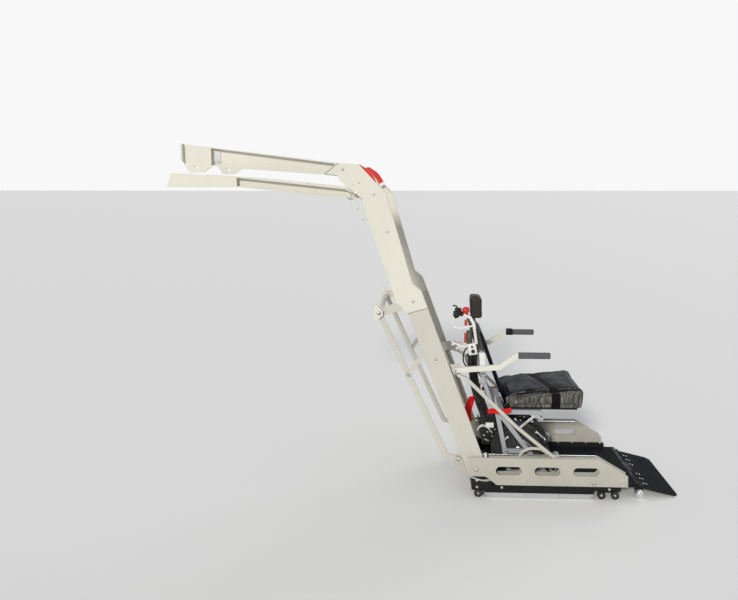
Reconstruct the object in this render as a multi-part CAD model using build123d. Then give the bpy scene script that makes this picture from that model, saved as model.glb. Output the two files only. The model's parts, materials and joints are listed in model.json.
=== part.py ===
from build123d import *
import math
import os

# Aircraft wheelchair lift, in millimetres. +X points outboard, away from the door,
# +Y to the far side and +Z up. The origin is on the ground, under the middle.
os.makedirs("parts", exist_ok=True)
SIDES = (("near", -1), ("far", 1))

# Side frames: distances from the centre plane
frame_half_width = 310.0
channel_depth = 32.0
wall = 5.0
running_gap = 5.0
frame_inner = frame_half_width - channel_depth
frame_middle = 0.5 * (frame_inner + frame_half_width)

# Mast: one straight outer edge that leans inboard, and the carriage runs along it
mast_lean = 20.45
lean_run = math.tan(math.radians(mast_lean))
mast_foot_x = 375.0
mast_foot_z = 118.0
lower_mast_width = 112.0
upper_mast_width = 150.0
mast_head_width = 132.0
elbow_inner_z = 996.0
elbow_outer_z = elbow_inner_z + 30.0
elbow_shoulder_z = elbow_outer_z + 25.0
recess_low_z = elbow_outer_z + 88.0
recess_top_z = recess_low_z + 36.0
recess_depth = 32.0

# Head gusset and the two cabin rails, placed from the door sill's height
sill_rest_z = 1640.0
mast_head_z = sill_rest_z - 86.0
head_x = mast_foot_x - mast_head_z * lean_run
slope_top = (head_x - 151.5, sill_rest_z + 112.0)
slope_middle = (head_x - 72.5, sill_rest_z + 29.0)
slope_foot = (head_x - 16.5, sill_rest_z - 30.0)
guide_line = (
    (head_x - 154.0, sill_rest_z + 98.5),
    (head_x - 106.0, sill_rest_z + 70.0),
    (head_x - 78.0, sill_rest_z + 19.0),
)
guide_width = 28.0
guide_bend = 120.0
top_seam_upper = (head_x - 253.5, sill_rest_z + 119.0)
top_seam_lower = (head_x - 324.5, sill_rest_z + 64.0)
rail_root_step = (65.0, -7.0)
bottom_root_upper = (head_x - 204.5, sill_rest_z - 7.0)
bottom_root_lower = (head_x - 137.5, sill_rest_z - 60.0)
bottom_root_step = (-44.0, 42.0)
top_rail_reach = 899.5
top_rail_end_x = head_x - top_rail_reach
top_rail_end_height = 92.0
end_plate_reach = 1045.5
end_plate_x = head_x - end_plate_reach
end_plate_top_z = sill_rest_z + 215.0
end_plate_heel_z = end_plate_top_z - 89.0
end_plate_thickness = 10.0
end_plate_step = 18.0
lug_bottom_z = end_plate_top_z - 142.0
lug_inboard_x = end_plate_x + 28.0
lug_outboard_x = lug_inboard_x + 76.0
lug_bore_radius = 9.0
lug_bore_z = end_plate_top_z - 117.0
bottom_seam_reach = 774.5
bottom_seam_x = head_x - bottom_seam_reach
bottom_seam_height = 51.0
sill_end_reach = 1137.5
sill_end_x = head_x - sill_end_reach
sill_end_upper = (sill_end_x + 27.0, sill_rest_z + 71.0)
knee_strip_reach = (76.0, 50.0)
knee_strip_drop = (110.0, 140.0)
knee_strip_bends = ((-12.0, -48.0), (-2.0, -98.0), (-39.0, -48.0))

# Door pad, stay and foot bracket on the inboard side of each mast
pad_bolt = (-258.0, 998.0)
side_plate_thickness = 8.0
stay_width = 28.0
stay_knee = (96.0, 222.0)
stay_foot = (159.0, 211.0)
stay_bend = 12.0
link_width = 22.0
link_top_z = 794.0
link_foot = (-104.0, 671.0)
foot_lip = 3.0
foot_lip_steps = ((-69.0, -15.0), (-37.0, -22.0), (2.0, -18.0))
cross_tube_radius = 14.0
cabin_tube_radius = 16.0
cabin_tubes = ((head_x - 1035.5, sill_rest_z + 32.0), (head_x - 515.5, sill_rest_z))

# Base
rail_inner = frame_half_width - 26.0
rail_low_z = 48.0
rail_top_z = rail_low_z + 20.0
rail_start_x = 236.0
rear_axle_x = rail_start_x + 34.0
front_axle_x = 995.0
middle_axle_x = front_axle_x - 72.0
rail_end_x = front_axle_x + 26.0
strip_inner = rail_inner + 4.0
strip_start_x = rear_axle_x + 36.0
strip_end_x = middle_axle_x - 43.0
strip_low_z = 4.0
strip_top_z = 28.0
beam_low_z = 30.0
beam_width = 40.0
beam_xs = ((rail_start_x + rail_end_x) / 2, (middle_axle_x + front_axle_x) / 2)
foot_block_reach = 12.0
base_wheel_radius = 21.0
base_wheel_width = 22.0
base_axle_radius = 5.0
base_axles = (("rear", rear_axle_x), ("middle", middle_axle_x), ("front", front_axle_x))
axle_lug_width = 24.0
axle_lug_depth = (9.0, 2.0)
axle_lug_low_z = 8.0
winch_end_x = rail_start_x + 78.0
winch_low_z = 58.0
winch_half_width = frame_inner - 16.0

# Carriage: double side guards, floor and ramp
guard_face_gap = 8.0
guard_outer_in = frame_half_width + guard_face_gap
guard_outer = guard_outer_in + wall
guard_inner_out = frame_inner - running_gap
guard_inner = guard_inner_out - wall
guard_top_z = 228.0
guard_bottom_z = 77.0
guard_step_z = 124.0
guard_nose_x = 1055.0
guard_shoulder_x = guard_nose_x - 154.0
guard_nose_z = 138.0
guard_rear_inset = 80.0
slot_count = 3
slot_pitch = 203.5
slot_length = 135.0
slot_height = 46.0
slot_first_x = 427.5
slot_z = 157.0
spacer_radius = 10.0
spacers = ((529.0, 98.0), (877.0, 100.0))
guide_roller_radius = 20.0
guide_roller_gaps = (12.5, recess_depth + 13.0)
rear_roller_z = 165.0
front_roller_gap_z = 50.0
floor_start_x = 345.0
floor_end_x = 1130.0
floor_thickness = 12.0
floor_top_z = 72.0
floor_low_z = floor_top_z - floor_thickness
curb_width = 28.0
curb_height = 28.0
curb_end_x = floor_end_x - 65.0
hinge_x = floor_end_x + 18.0
hinge_z = 50.0
hinge_pin_radius = 5.0
knuckle_radius = 11.0
knuckle_inner_end = 50.0
knuckle_outer_start = guard_inner - 54.0
pin_clearance = 0.06
end_gap = 1.0
ramp_length = 198.9
ramp_thickness = 6.0
ramp_half_width = guard_inner - 6.0
ramp_rest_slope = 13.6
ramp_corner = 22.0
front_roller_radius = 22.0
front_roller_width = 24.0
front_roller_x = floor_end_x
front_axle_radius = 6.0
front_lug_x = (-14.0, 10.0)
front_lug_low_z = 8.0
front_lug_width = 26.0

# Ties and armrests
bracket_low_z = 668.0
bracket_top_z = bracket_low_z + 54.0
bracket_reach = 40.0
bracket_end_x = mast_foot_x - bracket_low_z * lean_run + bracket_reach
upright_width = 50.0
upright_inset = 26.0
armrest_pivot_inset = 30.0
armrest_pivot_rise = 28.0
armrest_pivot = (bracket_end_x - armrest_pivot_inset, bracket_low_z + armrest_pivot_rise)
armrest_height = 27.0
armrest_thickness = 18.0
armrest_step = (armrest_pivot[0] + 230.0, armrest_pivot[1] + 18.0)
armrest_rise = (armrest_pivot[0] + 319.0, armrest_pivot[1] + 82.0)
armrest_bend = 25.0
grip_start_x = armrest_rise[0] + 8.0
grip_length = 165.0
grip_height = 32.0
grip_thickness = 26.0
grip_corner = 8.0
armrest_pin_radius = 5.0
pin_head_radius = 9.0
pin_head_height = 4.0
brace_radius = 10.0
brace_top = (bracket_end_x - 10.0, bracket_low_z + 2.0)
brace_knee = (bracket_end_x + 32.0, bracket_low_z - 18.0)
brace_middle = (470.0, 387.0)
brace_foot_x = 676.0
brace_bend = 40.0
arc_line = ((486.0, 214.0), (496.0, 246.0), (540.0, 268.0), (600.0, 266.0), (636.0, 238.0))
arc_width = 14.0
arc_bend = 40.0

# Transfer chair
chair_plane = guard_inner - 68.0
chair_bar = 24.0
chair_bar_thickness = 18.0
chair_inner = chair_plane - chair_bar_thickness / 2
chair_outer = chair_plane + chair_bar_thickness / 2
seat_rail_x = (370.0, 605.0)
seat_rail_z = 443.0
seat_rail_low_z = seat_rail_z - 11.0
chair_foot_xs = (445.0, 640.0)
chair_foot_z = floor_top_z + 28.0
axle_bar_x = (415.0, 548.0)
cross_bar_xs = (385.0, seat_rail_x[1] - 30.0)
board_low_z = seat_rail_z + 12.0
board_top_z = board_low_z + 8.0
board_x = (440.0, 802.0)
board_half_width = chair_plane - 10.0
seat_front_x = 828.0
seat_half_width = chair_plane + 2.0
cushion_front_thickness = 118.0
cushion_rear_thickness = 90.0
soft_gap = 0.3
back_line = ((272.0, 925.0), (282.0, 892.0), (330.0, 735.0), (376.0, 605.0), (437.0, board_low_z))
back_thickness = 18.0
back_half_width = chair_plane - 60.0
back_top_z = 892.0
column_depth = 46.0
column_half_width = 58.0
column_low_z = 731.0
post_line = ((372.0, seat_rail_z), (344.0, 474.0), (291.0, 630.0), (283.0, 768.0))
post_width = 20.0
post_bend = 12.0
post_bar_zs = (650.0, 742.0)
post_bar_height = 22.0
head_pad_middle_x = 261.0
head_pad_depth = 60.0
head_pad_height = 125.0
head_pad_half_width = 60.0
chair_wheel_radius = 150.0
chair_wheel_width = 26.0
chair_wheel_x = 495.0
chair_wheel_z = floor_top_z + chair_wheel_radius + soft_gap
chair_wheel_plane = chair_plane - 35.0
chair_axle_radius = 8.0
caster_radius = 32.0
caster_width = 22.0
caster_trail = 14.0
caster_x = 705.0
caster_plane = chair_plane - 60.0
caster_z = floor_top_z + caster_radius + soft_gap
caster_stem_radius = 8.0
caster_boss_height = 30.0
caster_pin_radius = 4.0
caster_arm_start_x = 575.0
caster_arm_end_x = caster_x + 12.0
caster_arm_depth = 8.0
caster_arm_z = (168.0, 188.0)
crown_z = (150.0, 157.0)
drive_x = (405.0, 655.0)
drive_low_z = 250.0
drive_half_width = chair_wheel_plane - 33.0
battery_start_x = 300.0
battery_z = (215.0, 350.0)
battery_half_width = drive_half_width - 22.0
tie_strap_line = ((330.0, 448.0), (430.0, 448.0))
tie_strap_width = 25.0
tie_strap_thickness = 3.0

# Control handle at the near side of the back column
control_plane = -85.0
control_box_x = (212.0, 270.0)
control_box_z = (722.0, 791.0)
control_box_reach = 15.0
handle_line = ((185.0, 954.0), (224.0, 937.0), (245.0, 901.0), (264.0, 780.0))
handle_radius = 9.0
handle_bend = 18.0
lever_line = ((242.0, 890.0), (173.0, 877.0), (141.0, 883.0))
lever_width = 8.0
handle_grip_length = 46.0
handle_grip_radius = 13.0
cylinder_x = 222.0
cylinder_offset = control_box_reach / 2
cylinder_radius = 17.0
cylinder_z = (791.0, 863.0)
finger_line = ((222.0, 774.0), (180.0, 772.0), (150.0, 786.0), (128.0, 792.0))
finger_width = 10.0
finger_depth = (24.0, 16.0)


def plate(points, low, high):
    """A flat plate outlined in X and Z, between two values of Y."""
    face = make_face(Polyline(*points, close=True))
    return Pos(0, high, 0) * extrude(Plane.XZ * face, amount=high - low)


def side_plate(points, side, inner, outer):
    """A plate on one side of the centre plane, between two distances from it."""
    low, high = sorted((side * inner, side * outer))
    return plate(points, low, high)


def side_bar(points, width, side, inner, outer, bend=0.0):
    """A flat bar with round ends that follows a line in X and Z."""
    low, high = sorted((side * inner, side * outer))
    line = FilletPolyline(*points, radius=bend) if bend else Polyline(*points)
    face = make_face(offset(line, amount=width / 2))
    return Pos(0, high, 0) * extrude(Plane.XZ * face, amount=high - low)


def cross_cylinder(x, z, radius, low, high):
    """A round bar along Y."""
    return Pos(x, (low + high) / 2, z) * Rot(90, 0, 0) * Cylinder(radius, high - low)


def side_cylinder(x, z, radius, side, inner, outer):
    low, high = sorted((side * inner, side * outer))
    return cross_cylinder(x, z, radius, low, high)


def block(x, y, z):
    """A box between pairs of X, Y and Z."""
    size = (x[1] - x[0], y[1] - y[0], z[1] - z[0])
    return Pos(sum(x) / 2, sum(y) / 2, sum(z) / 2) * Box(*size)


def side_block(x, side, inner, outer, z):
    low, high = sorted((side * inner, side * outer))
    return block(x, (low, high), z)


def tube(points, radius, bend):
    """A round tube that follows straight runs joined by arcs."""
    path = FilletPolyline(*points, radius=bend)
    start = Plane(origin=path @ 0, z_dir=path % 0)
    return sweep(start * Circle(radius), path=path)


def mast_outer_x(z):
    """The mast's outboard edge at a height."""
    return mast_foot_x - z * lean_run


def mast_inner_x(z):
    """The lower mast's inboard edge at a height."""
    return mast_outer_x(z) - lower_mast_width


def along(start, end, value, key=0):
    """The point of a straight line where one coordinate has a value."""
    share = (value - start[key]) / (end[key] - start[key])
    return tuple(a + share * (b - a) for a, b in zip(start, end))


def shifted(point, x, z):
    return (point[0] + x, point[1] + z)


def write(name, shape):
    export_step(shape, os.path.join("parts", name + ".step"))


def write_pair(name, make):
    """One node with the same piece on the near and the far side."""
    write(name, make(-1) + make(1))


# Outlines of the masts in X and Z
shoulder = (mast_outer_x(elbow_shoulder_z) - upper_mast_width, elbow_shoulder_z)
head_inner = (mast_outer_x(mast_head_z) - mast_head_width, mast_head_z - 8)
lower_mast_outline = [
    (mast_inner_x(mast_foot_z), mast_foot_z),
    (mast_outer_x(mast_foot_z), mast_foot_z),
    (mast_outer_x(elbow_outer_z), elbow_outer_z),
    (mast_inner_x(elbow_inner_z), elbow_inner_z),
]
upper_mast_outline = [
    lower_mast_outline[3],
    lower_mast_outline[2],
    (mast_outer_x(recess_low_z), recess_low_z),
    (mast_outer_x(recess_top_z) - recess_depth, recess_top_z),
    (mast_outer_x(mast_head_z), mast_head_z),
    slope_foot,
    slope_middle,
    slope_top,
    top_seam_upper,
    top_seam_lower,
    shifted(top_seam_lower, *rail_root_step),
    shifted(bottom_root_upper, *bottom_root_step),
    bottom_root_upper,
    bottom_root_lower,
    head_inner,
    shoulder,
]
whole_mast_outline = lower_mast_outline[:2] + upper_mast_outline[2:] + lower_mast_outline[3:]


def mast_pocket(side):
    """The hollow of the mast's channel, open towards the centre plane."""
    face = make_face(Polyline(*whole_mast_outline, close=True))
    inset = offset(face, amount=-wall, kind=Kind.INTERSECTION)
    low, high = sorted((side * frame_inner, side * (frame_half_width - wall)))
    return Pos(0, high, 0) * extrude(Plane.XZ * inset, amount=high - low)


def lower_mast(side):
    body = side_plate(lower_mast_outline, side, frame_inner, frame_half_width)
    return body - mast_pocket(side)


def corner_guide(side):
    """The curved guide in the head's outer slope."""
    outer = frame_half_width - wall
    return side_bar(guide_line, guide_width, side, frame_inner, outer, guide_bend)


def upper_mast(side):
    body = side_plate(upper_mast_outline, side, frame_inner, frame_half_width)
    return body - mast_pocket(side) - corner_guide(side)


def knee_strip(side):
    """The curved strip in the corner between the bottom rail and the mast."""
    under = (bottom_seam_x, sill_rest_z)
    root_x, root_z = bottom_root_lower
    inner_bend, outer_foot, outer_bend = (
        shifted(bottom_root_lower, *step) for step in knee_strip_bends
    )
    points = [
        along(under, bottom_root_lower, root_x - knee_strip_reach[0]),
        along(under, bottom_root_lower, root_x - knee_strip_reach[1]),
        inner_bend,
        along(head_inner, shoulder, root_z - knee_strip_drop[0], key=1),
        along(head_inner, shoulder, root_z - knee_strip_drop[1], key=1),
        outer_foot,
        outer_bend,
    ]
    inner = frame_inner + side_plate_thickness
    return side_plate(points, side, inner, inner + side_plate_thickness)


def open_rail(start_upper, end_upper, end_lower, start_lower, side):
    """A rail of channel section, open on its outer face, with its ends closed."""
    outline = [start_upper, end_upper, end_lower, start_lower]
    hollow = [
        shifted(start_upper, wall, -wall),
        shifted(end_upper, -3 * wall, -wall),
        shifted(end_lower, wall, wall),
        shifted(start_lower, wall, wall),
    ]
    body = side_plate(outline, side, frame_inner, frame_half_width)
    return body - side_plate(hollow, side, frame_inner + wall, frame_half_width)


def top_rail(side):
    end_upper = (top_rail_end_x, end_plate_top_z - end_plate_step)
    end_lower = shifted(end_upper, 0, -top_rail_end_height)
    rail = open_rail(end_upper, top_seam_upper, top_seam_lower, end_lower, side)
    plate_outline = [
        (end_plate_x, end_plate_heel_z),
        (end_plate_x, end_plate_top_z),
        end_upper,
        end_lower,
        (lug_outboard_x, lug_bottom_z),
        (lug_inboard_x, lug_bottom_z),
    ]
    reach = frame_inner + end_plate_thickness
    rail += side_plate(plate_outline, side, frame_inner, reach)
    flange_x = (end_plate_x, end_plate_x + wall)
    flange_z = (end_plate_heel_z, end_plate_top_z - 1)
    rail += side_block(flange_x, side, frame_inner, frame_half_width, flange_z)
    lug_x = (lug_inboard_x + lug_outboard_x) / 2
    return rail - side_cylinder(lug_x, lug_bore_z, lug_bore_radius, side, frame_inner, reach)


def bottom_rail(side):
    seam_lower = (bottom_seam_x, sill_rest_z)
    seam_upper = shifted(seam_lower, 0, bottom_seam_height)
    rail = open_rail(seam_upper, bottom_root_upper, bottom_root_lower, seam_lower, side)
    sill_outline = [sill_end_upper, seam_upper, seam_lower, (sill_end_x, sill_rest_z)]
    return rail + side_plate(sill_outline, side, frame_inner, frame_inner + end_plate_thickness)


def pad_arm(side):
    step = lower_mast_outline[3]
    points = [
        shifted(pad_bolt, -14, 18),
        shifted(pad_bolt, 12, 28),
        along(step, shoulder, elbow_shoulder_z - 4, key=1),
        along(step, shoulder, elbow_shoulder_z - 38, key=1),
        shifted(pad_bolt, 24, -14),
        shifted(pad_bolt, -14, -18),
    ]
    return side_plate(points, side, frame_inner, frame_inner + side_plate_thickness)


def stay(side):
    inner = frame_inner + side_plate_thickness
    outer = inner + side_plate_thickness
    return side_bar([pad_bolt, stay_knee, stay_foot], stay_width, side, inner, outer, stay_bend)


def door_pad(side):
    points = [
        shifted(pad_bolt, -29, -38),
        shifted(pad_bolt, -29, 39),
        shifted(pad_bolt, -12, 45),
        shifted(pad_bolt, 20, 10),
        shifted(pad_bolt, 20, -12),
        shifted(pad_bolt, -7, -38),
    ]
    return side_plate(points, side, frame_inner + 2 * side_plate_thickness, frame_half_width)


def stay_link(side):
    """The short link from the stay to the mast's inboard edge."""
    inner = frame_inner + 2 * side_plate_thickness
    outer = inner + side_plate_thickness
    link_top = (mast_inner_x(link_top_z) + link_width, link_top_z + link_width)
    link = side_bar([link_top, link_foot], link_width, side, inner, outer)
    return link - side_plate(lower_mast_outline, side, frame_inner, frame_half_width)


def foot_bracket(side):
    """The hooked bracket from the stay's foot round the foot of the mast."""
    layer = frame_inner + 2 * side_plate_thickness
    reach = frame_half_width + foot_lip
    edge_z = mast_foot_z + 8
    points = [
        shifted(stay_foot, -12, 14),
        shifted(stay_foot, 10, 17),
        (mast_inner_x(stay_foot[1] - 6), stay_foot[1] - 6),
        (mast_inner_x(edge_z), edge_z),
        shifted(stay_foot, 22, -76),
        shifted(stay_foot, -4, -46),
        shifted(stay_foot, -12, -10),
    ]
    bracket = side_plate(points, side, layer + side_plate_thickness, reach)
    bracket += side_cylinder(*stay_foot, stay_width / 2 - 2, side, layer, reach)
    foot_corner = (mast_outer_x(mast_foot_z), mast_foot_z)
    lip_line = [(mast_inner_x(edge_z) - 6, edge_z - 2)]
    lip_line += [shifted(foot_corner, *step) for step in foot_lip_steps]
    return bracket + side_bar(lip_line, side_plate_thickness, side, frame_half_width, reach)


def side_frames():
    write_pair("lower_masts", lower_mast)
    write_pair("upper_masts", upper_mast)
    write_pair("corner_guides", corner_guide)
    write_pair("knee_strips", knee_strip)
    write_pair("top_rails", top_rail)
    write_pair("bottom_rails", bottom_rail)
    write_pair("pad_arms", pad_arm)
    write_pair("stays", stay)
    write_pair("door_pads", door_pad)
    write_pair("stay_links", stay_link)
    write_pair("foot_brackets", foot_bracket)
    tubes = cross_cylinder(*pad_bolt, cross_tube_radius, -frame_inner, frame_inner)
    for x, z in cabin_tubes:
        tubes += cross_cylinder(x, z, cabin_tube_radius, -frame_inner, frame_inner)
    write("cross_tubes", tubes)


def base_strip(side):
    x = (strip_start_x, strip_end_x)
    return side_block(x, side, strip_inner, frame_half_width, (strip_low_z, strip_top_z))


def base_side(side):
    """A base rail with its foot block for the mast and its wheel lugs."""
    rail_x = (rail_start_x, rail_end_x)
    body = side_block(rail_x, side, rail_inner, frame_half_width, (rail_low_z, rail_top_z))
    web_x = (strip_start_x, strip_end_x)
    web_z = (strip_top_z, rail_low_z)
    body += side_block(web_x, side, strip_inner, frame_half_width - 2, web_z)
    foot_x = (rail_start_x, mast_outer_x(mast_foot_z) + foot_block_reach)
    foot_z = (rail_top_z, mast_foot_z)
    body += side_block(foot_x, side, rail_inner, frame_half_width, foot_z)
    lug_z = (axle_lug_low_z, rail_low_z + 6)
    lug_inner = rail_inner - axle_lug_depth[0]
    lug_outer = rail_inner + axle_lug_depth[1]
    for axle_name, x in base_axles:
        lug_x = (x - axle_lug_width / 2, x + axle_lug_width / 2)
        body += side_block(lug_x, side, lug_inner, lug_outer, lug_z)
    return body


def base():
    frame = base_side(-1) + base_side(1)
    rear_x = (rail_start_x, winch_end_x)
    frame += block(rear_x, (-rail_inner, rail_inner), (beam_low_z, winch_low_z))
    for x in beam_xs:
        beam_x = (x - beam_width / 2, x + beam_width / 2)
        frame += block(beam_x, (-rail_inner, rail_inner), (beam_low_z, floor_low_z))
    for axle_name, x in base_axles:
        bore = base_axle_radius + pin_clearance
        bore_end = rail_inner + axle_lug_depth[1]
        frame -= cross_cylinder(x, base_wheel_radius, bore, -bore_end, bore_end)
    write("base_frame", frame)
    write_pair("base_strips", base_strip)
    winch_y = (-winch_half_width, winch_half_width)
    write("winch_motor", block(rear_x, winch_y, (winch_low_z, mast_foot_z)))

    wheel_inner = strip_inner
    reach = wheel_inner + base_wheel_width
    for axle_name, x in base_axles:
        wheels = cross_cylinder(x, base_wheel_radius, base_axle_radius, -reach, reach)
        for name, side in SIDES:
            place = (x, base_wheel_radius, base_wheel_radius, side)
            wheels += side_cylinder(*place, wheel_inner, reach)
        write("base_wheels_" + axle_name, wheels)


def guard_outline(bottom_z):
    rear_top = mast_outer_x(guard_top_z) - guard_rear_inset
    return [
        (rear_top, guard_top_z),
        (guard_shoulder_x, guard_top_z),
        (guard_nose_x - 3, guard_nose_z),
        (guard_nose_x, bottom_z),
        (floor_start_x + 20, bottom_z),
        (floor_start_x - 23, guard_step_z - 11),
        (rear_top + 93, guard_step_z),
        (rear_top + 19, guard_step_z + 3),
    ]


def brace_seat(side):
    x = (brace_foot_x - 26, brace_foot_x + 26)
    z = (slot_z + slot_height / 2 + 12, guard_top_z - 2)
    return side_block(x, side, guard_inner_out, guard_outer_in, z)


def side_guard(side):
    """Two plates, one each side of the mast, joined by spacers and the brace's seat."""
    guard = side_plate(guard_outline(guard_bottom_z), side, guard_outer_in, guard_outer)
    guard += side_plate(guard_outline(floor_low_z), side, guard_inner, guard_inner_out)
    run = slot_length - slot_height
    for number in range(slot_count):
        x = slot_first_x + number * slot_pitch
        ends = [(x - run / 2, slot_z), (x + run / 2, slot_z)]
        guard -= side_bar(ends, slot_height, side, guard_inner, guard_outer)
    for x, z in spacers:
        guard += side_cylinder(x, z, spacer_radius, side, guard_inner_out, guard_outer_in)
    return guard + brace_seat(side)


def guide_roller_pair(side):
    """Rollers on the guard's inner plate that run in the mast's channel."""
    rollers = Part()
    reach = frame_half_width - 2 * wall
    front_z = rear_roller_z + front_roller_gap_z
    rear_gap, front_gap = (guide_roller_radius + gap for gap in guide_roller_gaps)
    places = (
        (mast_inner_x(rear_roller_z) + rear_gap, rear_roller_z),
        (mast_outer_x(front_z) - front_gap, front_z),
    )
    for x, z in places:
        rollers += side_cylinder(x, z, guide_roller_radius, side, guard_inner_out, reach)
    return rollers


def curb(side):
    x = (floor_start_x, curb_end_x)
    z = (floor_top_z, floor_top_z + curb_height)
    return side_block(x, side, guard_inner - curb_width, guard_inner, z)


def platform():
    write_pair("side_guards", side_guard)
    write_pair("guide_rollers", guide_roller_pair)
    deck_y = (-guard_inner, guard_inner)
    deck = block((floor_start_x, floor_end_x), deck_y, (floor_low_z, floor_top_z))
    write("floor", deck + curb(-1) + curb(1))


def ramp_hinge():
    """The fixed hinge knuckles with their pin, and the lugs of the front rollers."""
    plate_front = hinge_x - knuckle_radius - 2
    plate_z = (hinge_z + 2, floor_low_z)
    y = (-ramp_half_width, ramp_half_width)
    hinge = block((floor_end_x - 50, plate_front), y, plate_z)
    hinge += cross_cylinder(hinge_x, hinge_z, hinge_pin_radius, *y)
    knuckles = (
        (2 * end_gap, knuckle_inner_end),
        (knuckle_outer_start, ramp_half_width),
    )
    for name, side in SIDES:
        for inner, outer in knuckles:
            hinge += side_cylinder(hinge_x, hinge_z, knuckle_radius, side, inner, outer)
            hinge += side_block((plate_front, hinge_x), side, inner, outer, plate_z)
        lug_x = (front_roller_x + front_lug_x[0], front_roller_x + front_lug_x[1])
        lug_z = (front_lug_low_z, hinge_z + 4)
        lug_inner = ramp_half_width - front_lug_width
        hinge += side_block(lug_x, side, lug_inner, ramp_half_width, lug_z)
        bore = front_axle_radius + pin_clearance
        place = (front_roller_x, front_roller_radius, bore, side)
        hinge -= side_cylinder(*place, lug_inner, ramp_half_width)
    return hinge


def ramp_leaf(side):
    """One leaf, level first and then turned down to the ground."""
    low = hinge_z - ramp_thickness / 2
    leaf_x = (hinge_x + knuckle_radius + 3, hinge_x + ramp_length)
    leaf_z = (low, low + ramp_thickness)
    leaf = side_block(leaf_x, side, 2 * end_gap, ramp_half_width, leaf_z)
    corners = leaf.edges().filter_by(Axis.Z)
    outer_corner = corners.sort_by(lambda edge: edge.center().X + side * edge.center().Y)[-1]
    leaf = chamfer(outer_corner, ramp_corner)
    inner = knuckle_inner_end + end_gap
    outer = knuckle_outer_start - end_gap
    leaf += side_block((hinge_x, leaf_x[0] + 1), side, inner, outer, leaf_z)
    leaf += side_cylinder(hinge_x, hinge_z, knuckle_radius, side, inner, outer)
    bore = hinge_pin_radius + pin_clearance
    leaf -= side_cylinder(hinge_x, hinge_z, bore, side, inner, outer)
    hinge = Pos(hinge_x, 0, hinge_z)
    return hinge * Rot(0, ramp_rest_slope, 0) * hinge.inverse() * leaf


def ramp():
    write("ramp_hinge", ramp_hinge())
    wheel_inner = ramp_half_width + 2
    reach = wheel_inner + front_roller_width
    rollers = cross_cylinder(front_roller_x, front_roller_radius, front_axle_radius, -reach, reach)
    for name, side in SIDES:
        write("ramp_leaf_" + name, ramp_leaf(side))
        place = (front_roller_x, front_roller_radius, front_roller_radius, side)
        rollers += side_cylinder(*place, wheel_inner, reach)
    write("front_rollers", rollers)


def tie_upright(side):
    """The upright inside the mast, with the pin of the armrest and the brace's boss."""
    lean_gap = running_gap + 2
    low, top = bracket_low_z, bracket_top_z
    foot_outer = mast_outer_x(guard_top_z) - upright_inset
    upright = [
        (foot_outer - upright_width, guard_top_z),
        (foot_outer, guard_top_z),
        (mast_outer_x(low) - upright_inset, low),
        (bracket_end_x, low),
        (bracket_end_x, top),
        (mast_outer_x(top) - upright_inset - upright_width, top),
    ]
    lower_corner = (mast_outer_x(low) + lean_gap, low)
    upper_corner = (mast_outer_x(top) + lean_gap, top)
    cheek = [lower_corner, (bracket_end_x, low), (bracket_end_x, top), upper_corner]
    cheek_outer = frame_middle - armrest_thickness / 2 - 2
    body = side_plate(upright, side, guard_inner, guard_inner_out)
    body += side_plate(cheek, side, guard_inner_out, cheek_outer)
    boss_outer = frame_middle - brace_radius
    body += side_cylinder(*brace_top, 0.8 * brace_radius, side, guard_inner_out, boss_outer)
    head_inner = frame_middle + armrest_thickness / 2 + end_gap
    head_outer = head_inner + pin_head_height
    body += side_cylinder(*armrest_pivot, armrest_pin_radius, side, guard_inner_out, head_outer)
    return body + side_cylinder(*armrest_pivot, pin_head_radius, side, head_inner, head_outer)


def brace(side):
    """A bent tube from the upright's boss down to its seat between the guard's plates."""
    line = [brace_knee, brace_middle, (brace_foot_x, guard_top_z - 10)]
    points = [(x, side * frame_middle, z) for x, z in line]
    rod = tube(points, brace_radius, brace_bend)
    tail_line = [brace_knee, brace_top]
    inner = frame_middle - brace_radius
    outer = frame_middle + brace_radius
    rod += side_bar(tail_line, 1.6 * brace_radius, side, inner, outer)
    return rod - tie_upright(side) - brace_seat(side)


def brace_arc(side):
    outer = guard_inner_out + side_plate_thickness
    return side_bar(arc_line, arc_width, side, guard_inner_out, outer, arc_bend)


def armrest(side):
    inner = frame_middle - armrest_thickness / 2
    outer = frame_middle + armrest_thickness / 2
    half = armrest_height / 2
    line = [armrest_pivot, armrest_step, armrest_rise]
    arm = side_bar(line, armrest_height, side, inner, outer, armrest_bend)
    stub_z = (armrest_rise[1] - half, armrest_rise[1] + half)
    arm += side_block((armrest_rise[0], grip_start_x), side, inner, outer, stub_z)
    beyond = (grip_start_x, grip_start_x + armrest_height)
    arm -= side_block(beyond, side, inner, outer, stub_z)
    bore = armrest_pin_radius + pin_clearance
    return arm - side_cylinder(*armrest_pivot, bore, side, inner, outer)


def ties():
    write_pair("tie_uprights", tie_upright)
    write_pair("braces", brace)
    write_pair("brace_arcs", brace_arc)
    for name, side in SIDES:
        write("armrest_" + name, armrest(side))
        grip_z = (armrest_rise[1] - grip_height / 2, armrest_rise[1] + grip_height / 2)
        grip_inner = frame_middle - grip_thickness / 2
        grip_x = (grip_start_x, grip_start_x + grip_length)
        grip = side_block(grip_x, side, grip_inner, grip_inner + grip_thickness, grip_z)
        write("armrest_grip_" + name, fillet(grip.edges().filter_by(Axis.X), grip_corner))


def back_front_x(z):
    """The front of the backrest at a height."""
    for upper, lower in zip(back_line, back_line[1:]):
        if lower[1] <= z <= upper[1]:
            return along(upper, lower, z, key=1)[0]
    raise ValueError("height off the backrest")


def back_strip(top_z, bottom_z, front_depth, rear_depth, half_width):
    """A panel that follows the backrest between two heights and two depths."""
    heights = [top_z] + [z for x, z in back_line if bottom_z < z < top_z] + [bottom_z]
    front = [(back_front_x(z) - front_depth, z) for z in heights]
    rear = [(back_front_x(z) - rear_depth, z) for z in reversed(heights)]
    return plate(front + rear, -half_width, half_width)


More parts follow.
